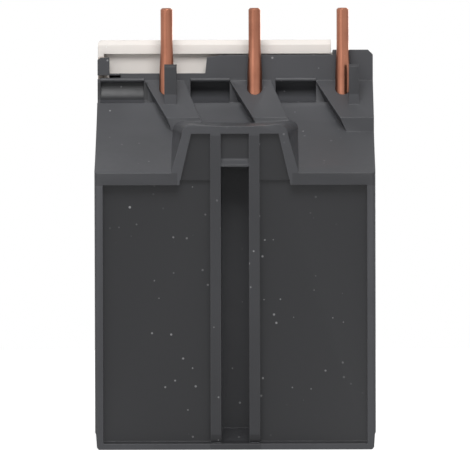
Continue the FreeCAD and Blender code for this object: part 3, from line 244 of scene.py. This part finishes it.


# ------------------------------------------------------------------ painted shade: darker recesses and the eaves' shadow on the pale cover
# Half widths count from the middle line and depths from the rear plane.
LEVEL = 0.15 * MM           # faces nearer than this lie in the rear plane
RIM = 1.2 * MM              # rims at the sides of the rear face
PANEL_DEPTH = 1.7 * MM      # the recessed panels lie within it
PANEL_FOOT_Z = 0.9 * MM
PANEL_TOP = 1.7 * MM        # upper edge of the panels, below the shoulder
SHIELD_HALF = 8.9 * MM      # recess under the shield
SHIELD_TOP = 6.4 * MM       # its upper edge, above the shoulder
RIBS_HALF = 4.1 * MM        # the two upright ribs, to their far sides
RIBS_TOP = 6.0 * MM
CHANNEL_HALF = 2.3 * MM     # channel between the ribs
CHANNEL_DEPTHS = (1.6 * MM, 9.0 * MM)
LEDGE_HEIGHTS = (0.9 * MM, 2.4 * MM)    # ledge across the channel, above the shoulder
BAR_START = 9.2 * MM        # bars below the shoulder, from here outwards
BAR_HEIGHT = 2.0 * MM
POST_FOOT = 1.3 * MM        # posts and hooks stand this far above the pocket floor
POST_FRONT = 2.8 * MM       # and this far behind the upper wall
CORNER_WIDTH = 8.2 * MM     # pocket in the corner
CORNER_HEIGHTS = (LIP_Z + 0.5 * MM, POCKET_TOP_Z - 0.2 * MM)
EAVES = 7.6 * MM            # the painted shadow on the pale cover's rear face ends this far above the pocket floor
EAVES_DRIFT = 1.6 * MM      # its edge wanders within this
EAVES_FADE = 0.25 * MM      # and fades over this
COVER_DEPTHS = (3.2 * MM, 3.0 * MM)     # the painted shadow starts between these, in front of the upper wall


def recess_shade_mask(s):
    """Mask of painted shade: 1 in the recesses of the rear face, less on its ribs, the hooks and the corner
    pocket, 0 elsewhere.
    """
    side, depth, height = s.coordinates()
    across = abs(side)
    level = depth > REAR_Y - LEVEL
    wide = (across < HALF_WIDTH - RIM) * (height < SHOULDER_Z - PANEL_TOP)
    narrow = (across < SHIELD_HALF) * (height < SHOULDER_Z + SHIELD_TOP)
    within = depth.between(REAR_Y - PANEL_DEPTH, REAR_Y - LEVEL) * (height > PANEL_FOOT_Z)
    ledge = (across < CHANNEL_HALF) * height.between(*(SHOULDER_Z + h for h in LEDGE_HEIGHTS))
    panels = wide.most(narrow) * within * (1.0 - ledge)
    channel = (across < CHANNEL_HALF) * depth.between(REAR_Y - CHANNEL_DEPTHS[1], REAR_Y - CHANNEL_DEPTHS[0])
    bars = (across > BAR_START) * height.between(SHOULDER_Z - BAR_HEIGHT, SHOULDER_Z) * level
    ribs = (across < RIBS_HALF) * (height < SHOULDER_Z + RIBS_TOP) * level
    posts = (height > LIP_Z + POST_FOOT) * (depth > WALL_Y + POST_FRONT)
    corner = (side > HALF_WIDTH - CORNER_WIDTH) * height.between(*CORNER_HEIGHTS)
    return panels.most((ribs + bars + channel) * 0.5).most(posts * 0.7 + corner)


def cover_eave_shadow_mask(s):
    """1 on the pale cover's rear face below its eaves, where the eaves' shadow is painted."""
    _, depth, height = s.coordinates()
    top = LIP_Z + EAVES + (s.noise(260.0) - 0.5) * EAVES_DRIFT
    reach = s.ramp(depth, WALL_Y - COVER_DEPTHS[0], WALL_Y - COVER_DEPTHS[1])
    return reach * s.ramp(top - height, 0.0, EAVES_FADE)


# ------------------------------------------------------------------ materials
def moulded_plastic(name, colour, roughness=0.42, dust=1.0, mottle=0.10, edge=0.6,
                    patch=None, patch_colour=None):
    """Satin injection moulding: spark-eroded grain, cloudy tone, dust specks and paler corners painted as a
    highlight.

    Mottle is the swing of the cloudy tone and edge the strength of the painted highlight on the corners.
    A patch is a function that gives the mask of an area painted in another colour; the patches used here
    paint shade.
    """
    s = Shader(bpy.data.materials.new(name))
    cloud = s.ramp(s.noise(70.0, 3.0), 0.30, 0.72)
    drift = s.ramp(s.noise(48.0, 1.0), 0.44, 0.60)
    fine = s.noise(900.0)
    grain = s.noise(5200.0, 1.0)
    body = s.mix(cloud, rgba(colour, 1.0 - mottle), rgba(colour, 1.0 + mottle))
    # The patch paints shade: darker recesses on the dark housing, the eaves' shadow on the pale cover.
    if patch:
        body = s.mix(patch(s), body, rgba(patch_colour))
    # Paler corners: a painted highlight where the rounded corners catch the light.
    corner_highlight = rgba([min(1.0, c * 1.6 + 0.03) for c in colour])
    body = s.mix(s.edges(0.22 * MM) * edge, body, corner_highlight)
    powder = rgba([min(1.0, c * 1.2 + 0.26) for c in colour])
    body = s.mix(s.specks(190.0, 0.9 * dust, 0.045) * 0.7, body, powder)
    body = s.mix(s.specks(560.0, 0.8 * dust, 0.10) * drift * 0.6, body, powder)
    rough = roughness + (fine - 0.5) * 0.16 + (cloud - 0.5) * 0.06
    normal = s.bump(grain + fine * 0.6, 0.10, 0.06 * MM, corner=0.18 * MM)
    return s.surface(Base_Color=body, Roughness=rough, Normal=normal, IOR=1.49, Specular_IOR_Level=0.30)


def drawn_metal(name, colour, dark, roughness, streak_scale):
    """Drawn or rolled metal: streaks that run long where their scale is small, oxide and bright corners."""
    s = Shader(bpy.data.materials.new(name))
    stretched = s.node("ShaderNodeMapping", None, {"Vector": s.place(), "Scale": streak_scale})
    streaks = s.noise(1.0, 2.0, 0.6, stretched)
    oxide = s.ramp(s.noise(240.0, 3.0), 0.35, 0.75)
    tone = s.mix(oxide * 0.5, rgba(colour), rgba(dark))
    tone = s.mix(s.ramp(streaks, 0.35, 0.75) * 0.45, tone, rgba(dark, 0.9))
    tone = s.mix(s.edges(0.12 * MM) * 0.5, tone, rgba(colour, 1.25))
    rough = roughness + (streaks - 0.5) * 0.18 + oxide * 0.10
    normal = s.bump(streaks, 0.18, 0.03 * MM, corner=0.10 * MM)
    return s.surface(Base_Color=tone, Metallic=1.0, Roughness=rough, Normal=normal)


def clear_plastic(name, colour):
    """Clear moulded sheet: faint flow marks, haze and fine dust."""
    s = Shader(bpy.data.materials.new(name))
    flow = s.noise(45.0)
    haze = s.ramp(s.noise(300.0, 3.0), 0.4, 0.9)
    dust = s.specks(260.0, 0.05, 0.05)
    tone = s.mix(dust * 0.5, rgba(colour), (0.80, 0.80, 0.78, 1.0))
    normal = s.bump(flow, 0.05, 0.2 * MM)
    return s.surface(Base_Color=tone, Roughness=0.06 + haze * 0.06, Alpha=0.10 + haze * 0.03 + dust * 0.4,
                     Normal=normal, IOR=1.5)


# Finishes by material slot, made from the looks p; ink is for the printed numbers only.
FINISHES = {
    # The dark housing is painted 0.42 times darker as shade in its recesses, channel, ribs, bars, hooks and
    # corner pocket.
    "dark_body": lambda p: moulded_plastic(
        "charcoal_moulding", p.charcoal, patch=recess_shade_mask, patch_colour=[0.42 * c for c in p.charcoal]),
    # The pale cover's rear face under its eaves is painted darker as the eaves' shadow.
    "light_cover": lambda p: moulded_plastic(
        "warm_pale_moulding", p.pale, roughness=0.46, dust=0.3, mottle=0.04, edge=0.15,
        patch=cover_eave_shadow_mask, patch_colour=p.eave_shadow),
    "ink": lambda p: moulded_plastic(
        "printed_ink", (0.05, 0.05, 0.055), roughness=0.5, dust=0.0, mottle=0.1, edge=0.0),
    "clear": lambda p: clear_plastic("clear_flap_plastic", (0.90, 0.92, 0.93)),
    "copper": lambda p: drawn_metal(
        "drawn_copper", p.copper, (0.21, 0.080, 0.050), 0.30, (1500.0, 1500.0, 45.0)),
    "zinc_steel": lambda p: drawn_metal(
        "zinc_plated_steel", (0.66, 0.65, 0.62), (0.44, 0.42, 0.37), 0.32, (900.0, 200.0, 900.0)),
    "spring_steel": lambda p: drawn_metal(
        "spring_wire", (0.50, 0.50, 0.51), (0.30, 0.29, 0.28), 0.28, (700.0, 700.0, 700.0)),
    "resistance_wire": lambda p: drawn_metal(
        "resistance_ribbon", (0.42, 0.39, 0.36), (0.20, 0.17, 0.15), 0.45, (300.0, 300.0, 900.0)),
    "bimetal_strip": lambda p: drawn_metal(
        "rolled_bimetal", (0.56, 0.54, 0.50), (0.40, 0.36, 0.30), 0.34, (1200.0, 1200.0, 50.0)),
    "contact_brass": lambda p: drawn_metal(
        "contact_brass", (0.74, 0.58, 0.28), (0.52, 0.36, 0.14), 0.30, (900.0, 900.0, 60.0)),
    "tray_plastic": lambda p: moulded_plastic("black_tray_moulding", (0.055, 0.055, 0.058), roughness=0.5),
    "slide_plastic": lambda p: moulded_plastic(
        "natural_slide_moulding", (0.62, 0.58, 0.48), roughness=0.5, dust=0.1, mottle=0.05, edge=0.15),
    "bridge_plastic": lambda p: moulded_plastic(
        "orange_lever_moulding", (0.62, 0.17, 0.05), roughness=0.45, dust=0.1, mottle=0.06, edge=0.2),
    "dial_plastic": lambda p: moulded_plastic(
        "pale_dial_moulding", (0.72, 0.71, 0.68), roughness=0.38, dust=0.2, mottle=0.04, edge=0.15),
    "blue_plastic": lambda p: moulded_plastic(
        "blue_button_moulding", (0.03, 0.11, 0.42), roughness=0.36, dust=0.2, mottle=0.07, edge=0.3),
    "red_plastic": lambda p: moulded_plastic(
        "red_button_moulding", (0.56, 0.03, 0.02), roughness=0.36, dust=0.2, mottle=0.07, edge=0.3),
}


# ------------------------------------------------------------------ mesh makers
def new_piece(name, verts, faces, material, body):
    """Object from arrays, with its finish, riding on a body."""
    mesh = bpy.data.meshes.new(name)
    mesh.from_pydata([tuple(v) for v in verts], [], [tuple(f) for f in faces])
    mesh.update()
    piece = bpy.data.objects.new(name, mesh)
    bpy.context.scene.collection.objects.link(piece)
    mesh.materials.append(material)
    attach(piece, body)
    return piece


def shade_smooth(piece, angle=35.0):
    """Smooth faces, kept sharp where neighbours meet at more than the angle."""
    mesh = piece.data
    mesh.polygons.foreach_set("use_smooth", np.ones(len(mesh.polygons), dtype=bool))
    mesh.set_sharp_from_angle(angle=math.radians(angle))


def fix_normals(piece):
    """Merge doubles and turn every face outwards."""
    mesh = bmesh.new()
    mesh.from_mesh(piece.data)
    bmesh.ops.remove_doubles(mesh, verts=mesh.verts, dist=1e-7)
    bmesh.ops.recalc_face_normals(mesh, faces=mesh.faces)
    mesh.to_mesh(piece.data)
    mesh.free()


def ring_faces(rings, count):
    """Quads that join each ring of count points to the next ring."""
    i, j = np.meshgrid(np.arange(rings - 1), np.arange(count), indexing="ij")
    nxt = (j + 1) % count
    corners = (i * count + j, (i + 1) * count + j, (i + 1) * count + nxt, i * count + nxt)
    return [list(face) for face in np.stack(corners, axis=-1).reshape(-1, 4)]


def tube_grid(path, radius, sides):
    """Round tube with flat ends carried along a path.

    Each ring is centre + radius (cos t N + sin t B), where N and B are square to the path's direction there.
    """
    ahead = np.gradient(path, axis=0)
    ahead /= np.linalg.norm(ahead, axis=1)[:, None]
    guide = np.array([0.123, 0.456, 0.881])     # any direction that no path here takes
    first = np.cross(ahead, guide)
    first /= np.linalg.norm(first, axis=1)[:, None]
    second = np.cross(ahead, first)
    turn = np.linspace(0.0, 2 * np.pi, sides, endpoint=False)
    rings = (path[:, None, :] + radius * (np.cos(turn)[None, :, None] * first[:, None, :]
                                          + np.sin(turn)[None, :, None] * second[:, None, :]))
    rows = len(path)
    ends = [list(range(sides)), list(range((rows - 1) * sides, rows * sides))[::-1]]
    return rings.reshape(-1, 3), ring_faces(rows, sides) + ends


SPRINGS = (
    # node, axis it is wound along, radius of its wire
    ("reset_spring", 1, 0.30 * MM),
    ("stop_spring", 1, 0.30 * MM),
    ("test_spring", 1, 0.25 * MM),
    ("trip_spring", 0, 0.22 * MM),
)
SPRING_TURNS = 3.5
SPRING_POINTS = 140


def coil_path(low, high, along, wire):
    """Helix in a box, wound along one of its axes, whose wire just fits in."""
    across = [k for k in range(3) if k != along]
    radius = (high[across[0]] - low[across[0]]) / 2 - wire
    centre = (low + high) / 2
    t = np.linspace(0.0, 1.0, SPRING_POINTS)
    turn = 2 * np.pi * SPRING_TURNS * t
    path = np.zeros((SPRING_POINTS, 3))
    path[:, along] = low[along] + wire + t * (high[along] - low[along] - 2 * wire)
    path[:, across[0]] = centre[across[0]] + radius * np.cos(turn)
    path[:, across[1]] = centre[across[1]] + radius * np.sin(turn)
    return path


DIAL_NUMBERS = (("2.5", 210), ("3", 150), ("3.5", 30), ("4", -30))      # text and degrees round the dial
NUMBER_REACH = 9.75 * MM        # from the dial's axis
INK_HEIGHT = 0.03 * MM


def numeral(text, x, z, front, height):
    """Points and faces of a short printed number that reads from the front, centred at x and z."""
    curve = bpy.data.curves.new("numeral", "FONT")
    curve.body = text
    curve.size = height
    curve.align_x = "CENTER"
    curve.align_y = "CENTER"
    curve.extrude = INK_HEIGHT
    curve.resolution_u = 4
    holder = bpy.data.objects.new("numeral", curve)
    bpy.context.scene.collection.objects.link(holder)
    mesh = bpy.data.meshes.new_from_object(holder.evaluated_get(bpy.context.evaluated_depsgraph_get()))
    flat = np.zeros(len(mesh.vertices) * 3)
    mesh.vertices.foreach_get("co", flat)
    flat = flat.reshape(-1, 3)
    verts = np.stack([x + flat[:, 0], front - flat[:, 2], z + flat[:, 1]], axis=1)
    faces = [list(face.vertices) for face in mesh.polygons]
    bpy.data.objects.remove(holder)
    bpy.data.curves.remove(curve)
    bpy.data.meshes.remove(mesh)
    return verts, faces


# The three pockets: how far each starts past its pin, how far it stops short of the next pin or of the side,
# and how deep it is.
POCKETS = (
    (3.75 * MM, 0.5 * MM, 1.0 * MM),
    (4.1 * MM, 3.85 * MM, 2.6 * MM),
    (4.35 * MM, 3.4 * MM, 2.6 * MM),
)
RIM_RADIUS = 0.36 * MM          # rounded rim of a pocket
RIM_TURN = (95.0, -70.0)        # degrees that the rim's arc runs through
RIM_BACK = 0.10 * MM            # its centre lies this far inside the upper wall
RIM_RISE = 0.22 * MM            # and this far above the pocket's upper edge
LINER = 0.30 * MM               # thickness of a liner
LIP_REACH = 2.05 * MM           # from the upper wall back to the slope's edge
LINER_TOP = 0.1 * MM            # the back line stays below this, above the pocket's upper edge
HAIR = 0.02 * MM                # keeps lines apart that would else coincide
SCOOP_POWER = 0.75              # below 1, it makes the hollow fuller
RIM_POINTS = 14
BOWL_POINTS = 22
LINER_STATIONS = 9


def pocket_outline(depth):
    """Side outline of a liner, as y and z: its front line, then its back line.

    The front line is a rounded rim, an arc about the pocket's top edge, and then a full quarter of a curve
    y = lip - (lip - back) (sin t)^p, z = top - (top - floor) cos t down to the slope's edge.
    """
    turn = np.radians(np.linspace(*RIM_TURN, RIM_POINTS))
    rim_y = WALL_Y - RIM_BACK + RIM_RADIUS * np.cos(turn)
    rim_z = POCKET_TOP_Z + RIM_RISE + RIM_RADIUS * np.sin(turn)
    lip_y = WALL_Y + LIP_REACH
    back_y = WALL_Y - depth
    top_z = POCKET_TOP_Z - HAIR
    sweep = np.linspace(np.pi / 2, 0.0, BOWL_POINTS)
    bowl_y = lip_y - (lip_y - back_y) * np.sin(sweep) ** SCOOP_POWER
    bowl_z = top_z - (top_z - LIP_Z) * np.cos(sweep)
    front = np.stack([np.r_[rim_y, bowl_y], np.r_[rim_z, bowl_z]], axis=1)
    behind = front[::-1] - np.array([LINER, 0.0])
    behind[:, 1] = np.minimum(behind[:, 1], POCKET_TOP_Z + LINER_TOP) - HAIR
    return np.concatenate([front, behind])


def scoop_grid(x0, x1, depth):
    """Moulded liner of one pocket: a side outline carried from x0 to x1 and closed at both ends."""
    ring = pocket_outline(depth)
    count = len(ring)
    stations = np.linspace(x0, x1, LINER_STATIONS)
    verts = np.zeros((len(stations), count, 3))
    verts[:, :, 0] = stations[:, None]
    verts[:, :, 1:] = ring[None]
    ends = []
    for base in (0, (len(stations) - 1) * count):
        for k in range(count // 2 - 1):
            ends.append([base + k, base + k + 1, base + count - 2 - k, base + count - 1 - k])
    return verts.reshape(-1, 3), ring_faces(len(stations), count) + ends


SILL_FOOT_Z = 2.16 * MM     # height of the sill at the rear plane
SILL_RISE = 0.96            # it rises by this share of the depth
SILL_DEPTH = 1.52 * MM
SILL_SLACK = 0.05 * MM      # points nearer than this lie on the sill
LOW_RIM_Z = 0.95 * MM       # height and rise of the ledge that takes its place
LOW_RIM_RISE = 0.2


def lower_sill(mesh):
    """Carry the rear panels down to a low rim: the sloping sill drops to a nearly level ledge."""
    for v in mesh.verts:
        depth = REAR_Y - v.co.y
        inside = abs(v.co.x) < HALF_WIDTH - RIM and depth < SILL_DEPTH
        if inside and abs(v.co.z - (SILL_FOOT_Z + SILL_RISE * depth)) < SILL_SLACK:
            v.co.z = LOW_RIM_Z + LOW_RIM_RISE * depth


SAME_POINT = 2e-6       # points closer than this, in metres, are merged
FLAT_ANGLE = 0.6        # degrees: faces that meet at less are joined
CORNER_ANGLE = 32.0     # degrees: edges that turn by more are rounded


def softened_copy(node, radius, material):
    """Merged copy of a CAD node with flat areas joined and its corners rounded by a bevel."""
    source = NODES[node]
    mesh = bmesh.new()
    mesh.from_mesh(source.data)
    bmesh.ops.remove_doubles(mesh, verts=mesh.verts, dist=SAME_POINT)
    flat = math.radians(FLAT_ANGLE)
    bmesh.ops.dissolve_limit(mesh, angle_limit=flat, verts=mesh.verts, edges=mesh.edges)
    if node == "rear_housing":
        lower_sill(mesh)
    data = bpy.data.meshes.new(node + "_soft")
    mesh.to_mesh(data)
    mesh.free()
    piece = bpy.data.objects.new(node + "_soft", data)
    bpy.context.scene.collection.objects.link(piece)
    data.materials.clear()
    data.materials.append(material)
    bevel = piece.modifiers.new("corner", "BEVEL")
    bevel.width = radius
    bevel.segments = 2
    bevel.limit_method = "ANGLE"
    bevel.angle_limit = math.radians(CORNER_ANGLE)
    shade_smooth(piece, CORNER_ANGLE)
    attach(piece, source["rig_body"])
    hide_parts(node)
    return piece


# ------------------------------------------------------------------ settings
class RelayLooks(bpy.types.PropertyGroup):
    """Sizes and colours a user may change."""

    charcoal: FloatVectorProperty(name="Charcoal", description="Colour of the dark housing", subtype="COLOR",
                                  default=(0.054, 0.055, 0.060), min=0.0, max=1.0)
    pale: FloatVectorProperty(name="Pale cover", description="Colour of the light front cover",
                              subtype="COLOR", default=(0.78, 0.74, 0.70), min=0.0, max=1.0)
    # Colour of the painted shadow on the pale cover's rear face, under its eaves.
    eave_shadow: FloatVectorProperty(name="Eave shadow", description="Colour of the pale cover's rear face",
                              subtype="COLOR", default=(0.50, 0.43, 0.38), min=0.0, max=1.0)
    copper: FloatVectorProperty(name="Copper", description="Colour of the contactor pins", subtype="COLOR",
                                default=(0.40, 0.170, 0.108), min=0.0, max=1.0)
    corner: FloatProperty(name="Corner radius", description="Radius of the moulded corners", unit="LENGTH",
                          default=0.00022, min=0.0, max=0.001)
    numeral: FloatProperty(name="Numeral height", description="Height of the numbers round the dial",
                           unit="LENGTH", default=0.0017, min=0.0005, max=0.003)
    wire_sides: IntProperty(name="Wire sides", description="Faces round a spring wire",
                            default=10, min=6, max=24)


class RelayStage(bpy.types.PropertyGroup):
    """Camera, lamps, floor and sky."""

    distance: FloatProperty(name="Camera distance", description="From the lens to the rear face",
                            unit="LENGTH", default=0.765)
    height: FloatProperty(name="Aim height", description="Height the camera looks at", unit="LENGTH",
                          default=0.0344)
    elevation: FloatProperty(name="Elevation", description="Camera angle above level", subtype="ANGLE",
                             default=math.radians(1.2))
    turn: FloatProperty(name="Turn", description="Camera angle round the relay, off the rear face",
                        subtype="ANGLE", default=math.radians(0.3))
    roll: FloatProperty(name="Roll", description="Tilt of the camera about its view", subtype="ANGLE",
                        default=math.radians(-0.14))
    span: FloatProperty(name="Picture width", description="Width seen at the rear face", unit="LENGTH",
                        default=0.0752)
    key: FloatProperty(name="Key lamp", description="Power of the soft lamp above", default=0.70)
    fill: FloatProperty(name="Side lamp", description="Power of the lamp beside the relay", default=0.25)
    front: FloatProperty(name="Front lamp", description="Power of the lamp in front, in times the key lamp's",
                         default=2.5)
    floor: FloatProperty(name="Floor", description="Half the width of the floor", unit="LENGTH", default=0.32)
    sky: FloatProperty(name="Sky", description="Strength of the even light", default=0.18)


# ------------------------------------------------------------------ stage makers
SENSOR_WIDTH = 36.0                     # of the camera, in millimetres
LAMP_AIM = Vector((0.0, 0.0, 0.045))    # the middle of the relay
FLOOR_GLOW = 1.45                       # strength of the white that the eye sees
FLOOR_GLOW_SHARE = 0.6                  # the rest shows the shadow


def set_camera(stage):
    """Camera behind the relay, aimed at its rear face."""
    low, high = CAD_BOX
    target = Vector(((low[0] + high[0]) / 2, high[1], stage.height))
    lens = bpy.data.cameras.new("relay_camera")
    camera = bpy.data.objects.new("relay_camera", lens)
    bpy.context.scene.collection.objects.link(camera)
    lens.sensor_width = SENSOR_WIDTH
    lens.lens = SENSOR_WIDTH * stage.distance / stage.span
    lens.clip_end = 50.0
    level = math.cos(stage.elevation)
    away = Vector((-level * math.sin(stage.turn), level * math.cos(stage.turn), math.sin(stage.elevation)))
    camera.location = target + stage.distance * away
    upright = Euler((math.pi / 2 - stage.elevation, 0.0, math.pi + stage.turn)).to_matrix()
    camera.rotation_euler = (upright @ Euler((0.0, 0.0, stage.roll)).to_matrix()).to_euler()
    bpy.context.scene.camera = camera


def hang_lamp(name, place, size, power):
    """Square soft lamp aimed at the relay."""
    data = bpy.data.lights.new(name, "AREA")
    data.size = size
    data.energy = power
    lamp = bpy.data.objects.new(name, data)
    lamp.location = place
    lamp.rotation_euler = (LAMP_AIM - Vector(place)).to_track_quat("-Z", "Y").to_euler()
    bpy.context.scene.collection.objects.link(lamp)


def floor_paint():
    """Matt white floor that the eye sees white, with a soft shadow left in it."""
    s = Shader(bpy.data.materials.new("pale_floor_paint"))
    tone = s.mix(s.noise(6.0), (0.86, 0.86, 0.86, 1.0), (0.90, 0.90, 0.90, 1.0))
    matt = s.node("ShaderNodeBsdfPrincipled", None, {"Base Color": tone, "Roughness": 0.85}, out="BSDF")
    glow = s.node("ShaderNodeEmission", None, {"Color": WHITE, "Strength": FLOOR_GLOW})
    return s.finish(s.node("ShaderNodeMixShader", None, {0: s.seen() * FLOOR_GLOW_SHARE, 1: matt, 2: glow}))


def lay_floor(half):
    """Square floor under the relay."""
    verts = np.array([(-1, -1, 0), (1, -1, 0), (1, 1, 0), (-1, 1, 0)]) * half
    mesh = bpy.data.meshes.new("pale_floor")
    mesh.from_pydata([tuple(v) for v in verts], [], [(0, 1, 2, 3)])
    floor = bpy.data.objects.new("pale_floor", mesh)
    bpy.context.scene.collection.objects.link(floor)
    mesh.materials.append(floor_paint())


def light_sky(strength):
    """Even light, seen as white by the eye and by gloss and glass."""
    s = Shader(bpy.data.worlds.new("studio_sky"))
    lit = s.node("ShaderNodeMapRange", None, {"Value": s.seen(), "To Min": strength, "To Max": 1.0})
    back = s.node("ShaderNodeBackground", None, {"Color": WHITE, "Strength": lit})
    bpy.context.scene.world = s.finish(back, "ShaderNodeOutputWorld")


# ------------------------------------------------------------------ operators
MADE = {}       # finished materials by slot, filled by the first step


class RELAY_OT_finishes(bpy.types.Operator):
    """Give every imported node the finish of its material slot"""

    bl_idname = "relay.finishes"
    bl_label = "Finishes"

    def execute(self, context):
        for slot, make in FINISHES.items():
            MADE[slot] = make(context.scene.relay_looks)
        for node, slot in SLOTS.items():
            materials = NODES[node].data.materials
            materials.clear()
            materials.append(MADE[slot])
        return {"FINISHED"}


class RELAY_OT_mouldings(bpy.types.Operator):
    """Round the corners of the plastic mouldings"""

    bl_idname = "relay.mouldings"
    bl_label = "Mouldings"

    def execute(self, context):
        for node in ("rear_housing", "front_cover", "power_terminal_block", "aux_terminal_block"):
            softened_copy(node, context.scene.relay_looks.corner, MADE[SLOTS[node]])
        return {"FINISHED"}


class RELAY_OT_pockets(bpy.types.Operator):
    """Line the three pockets between the pads with their scooped floors and rounded rims"""

    bl_idname = "relay.pockets"
    bl_label = "Pockets"

    def execute(self, context):
        mounts = frame["record"]["mounts"]
        pins = sorted((m["pos_m"][0] for m in mounts if m["name"].startswith("pin_")), reverse=True)
        limits = [HALF_WIDTH] + pins
        for n, (past, short, depth) in enumerate(POCKETS):
            verts, faces = scoop_grid(pins[n] + past, limits[n] - short, depth)
            name = "pocket_scoop_%d" % (n + 1)
            piece = new_piece(name, verts, faces, MADE["dark_body"], "frame")
            fix_normals(piece)
            shade_smooth(piece, angle=60.0)
        return {"FINISHED"}


class RELAY_OT_numbers(bpy.types.Operator):
    """Print the generic current scale beside the marks round the setting dial"""

    bl_idname = "relay.numbers"
    bl_label = "Dial numbers"

    def execute(self, context):
        pivot = JOINTS["dial_turn"]["pos_m"]
        verts, faces = [], []
        for text, angle in DIAL_NUMBERS:
            x = pivot[0] + NUMBER_REACH * math.cos(math.radians(angle))
            z = pivot[2] + NUMBER_REACH * math.sin(math.radians(angle))
            points, polygons = numeral(text, x, z, PANEL_Y, context.scene.relay_looks.numeral)
            faces += [[i + len(verts) for i in polygon] for polygon in polygons]
            verts += list(points)
        piece = new_piece("dial_numbers", verts, faces, MADE["ink"], "frame")
        fix_normals(piece)
        return {"FINISHED"}


class RELAY_OT_springs(bpy.types.Operator):
    """Wind the four return springs from round wire; those of the buttons get a mesh of their own"""

    bl_idname = "relay.springs"
    bl_label = "Springs"

    def execute(self, context):
        sides = context.scene.relay_looks.wire_sides
        travel = {name: joint["range_m"][1] for name, joint in JOINTS.items() if "range_m" in joint}
        for node, along, wire in SPRINGS:
            low, high = (np.array(c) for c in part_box(node))
            verts, faces = tube_grid(coil_path(low, high, along, wire), wire, sides)
            piece = new_piece(node + "_wire", verts, faces, MADE["spring_steel"], "frame")
            fix_normals(piece)
            shade_smooth(piece)
            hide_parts(node)
            joint = node.replace("_spring", "_push")
            if joint in travel:
                1.0 - travel[joint] / (high[1] - low[1])
                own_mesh(piece)
        return {"FINISHED"}


class RELAY_OT_stage(bpy.types.Operator):
    """Lay the pale floor, hang the lamps and set the camera"""

    bl_idname = "relay.stage"
    bl_label = "Stage"

    def execute(self, context):
        stage = context.scene.relay_stage
        context.scene.view_settings.view_transform = "Standard"
        set_camera(stage)
        lay_floor(stage.floor)
        hang_lamp("key_lamp", place=(0.0, 0.20, 0.25), size=0.16, power=stage.key)
        hang_lamp("side_lamp", place=(0.30, 0.45, 0.16), size=0.30, power=stage.fill)
        hang_lamp("front_lamp", place=(-0.25, -0.50, 0.22), size=0.35, power=stage.key * stage.front)
        light_sky(stage.sky)
        return {"FINISHED"}


STEPS = (RELAY_OT_finishes, RELAY_OT_mouldings, RELAY_OT_pockets, RELAY_OT_numbers, RELAY_OT_springs,
         RELAY_OT_stage)


class RELAY_PT_panel(bpy.types.Panel):
    """Settings and steps of the relay's looks"""

    bl_idname = "RELAY_PT_panel"
    bl_label = "Relay"
    bl_space_type = "VIEW_3D"
    bl_region_type = "UI"
    bl_category = "Relay"

    def draw(self, context):
        for group in (context.scene.relay_looks, context.scene.relay_stage):
            for name in group.__annotations__:
                self.layout.prop(group, name)
        for step in STEPS:
            self.layout.operator(step.bl_idname)


CLASSES = (RelayLooks, RelayStage) + STEPS + (RELAY_PT_panel,)


def register():
    for cls in CLASSES:
        bpy.utils.register_class(cls)
    bpy.types.Scene.relay_looks = PointerProperty(type=RelayLooks)
    bpy.types.Scene.relay_stage = PointerProperty(type=RelayStage)


def unregister():
    del bpy.types.Scene.relay_stage
    del bpy.types.Scene.relay_looks
    for cls in reversed(CLASSES):
        bpy.utils.unregister_class(cls)


def main():
    """Run every step in order."""
    register()
    for step in STEPS:
        group, name = step.bl_idname.split(".")
        getattr(getattr(bpy.ops, group), name)()


if __name__ == "__main__":
    main()
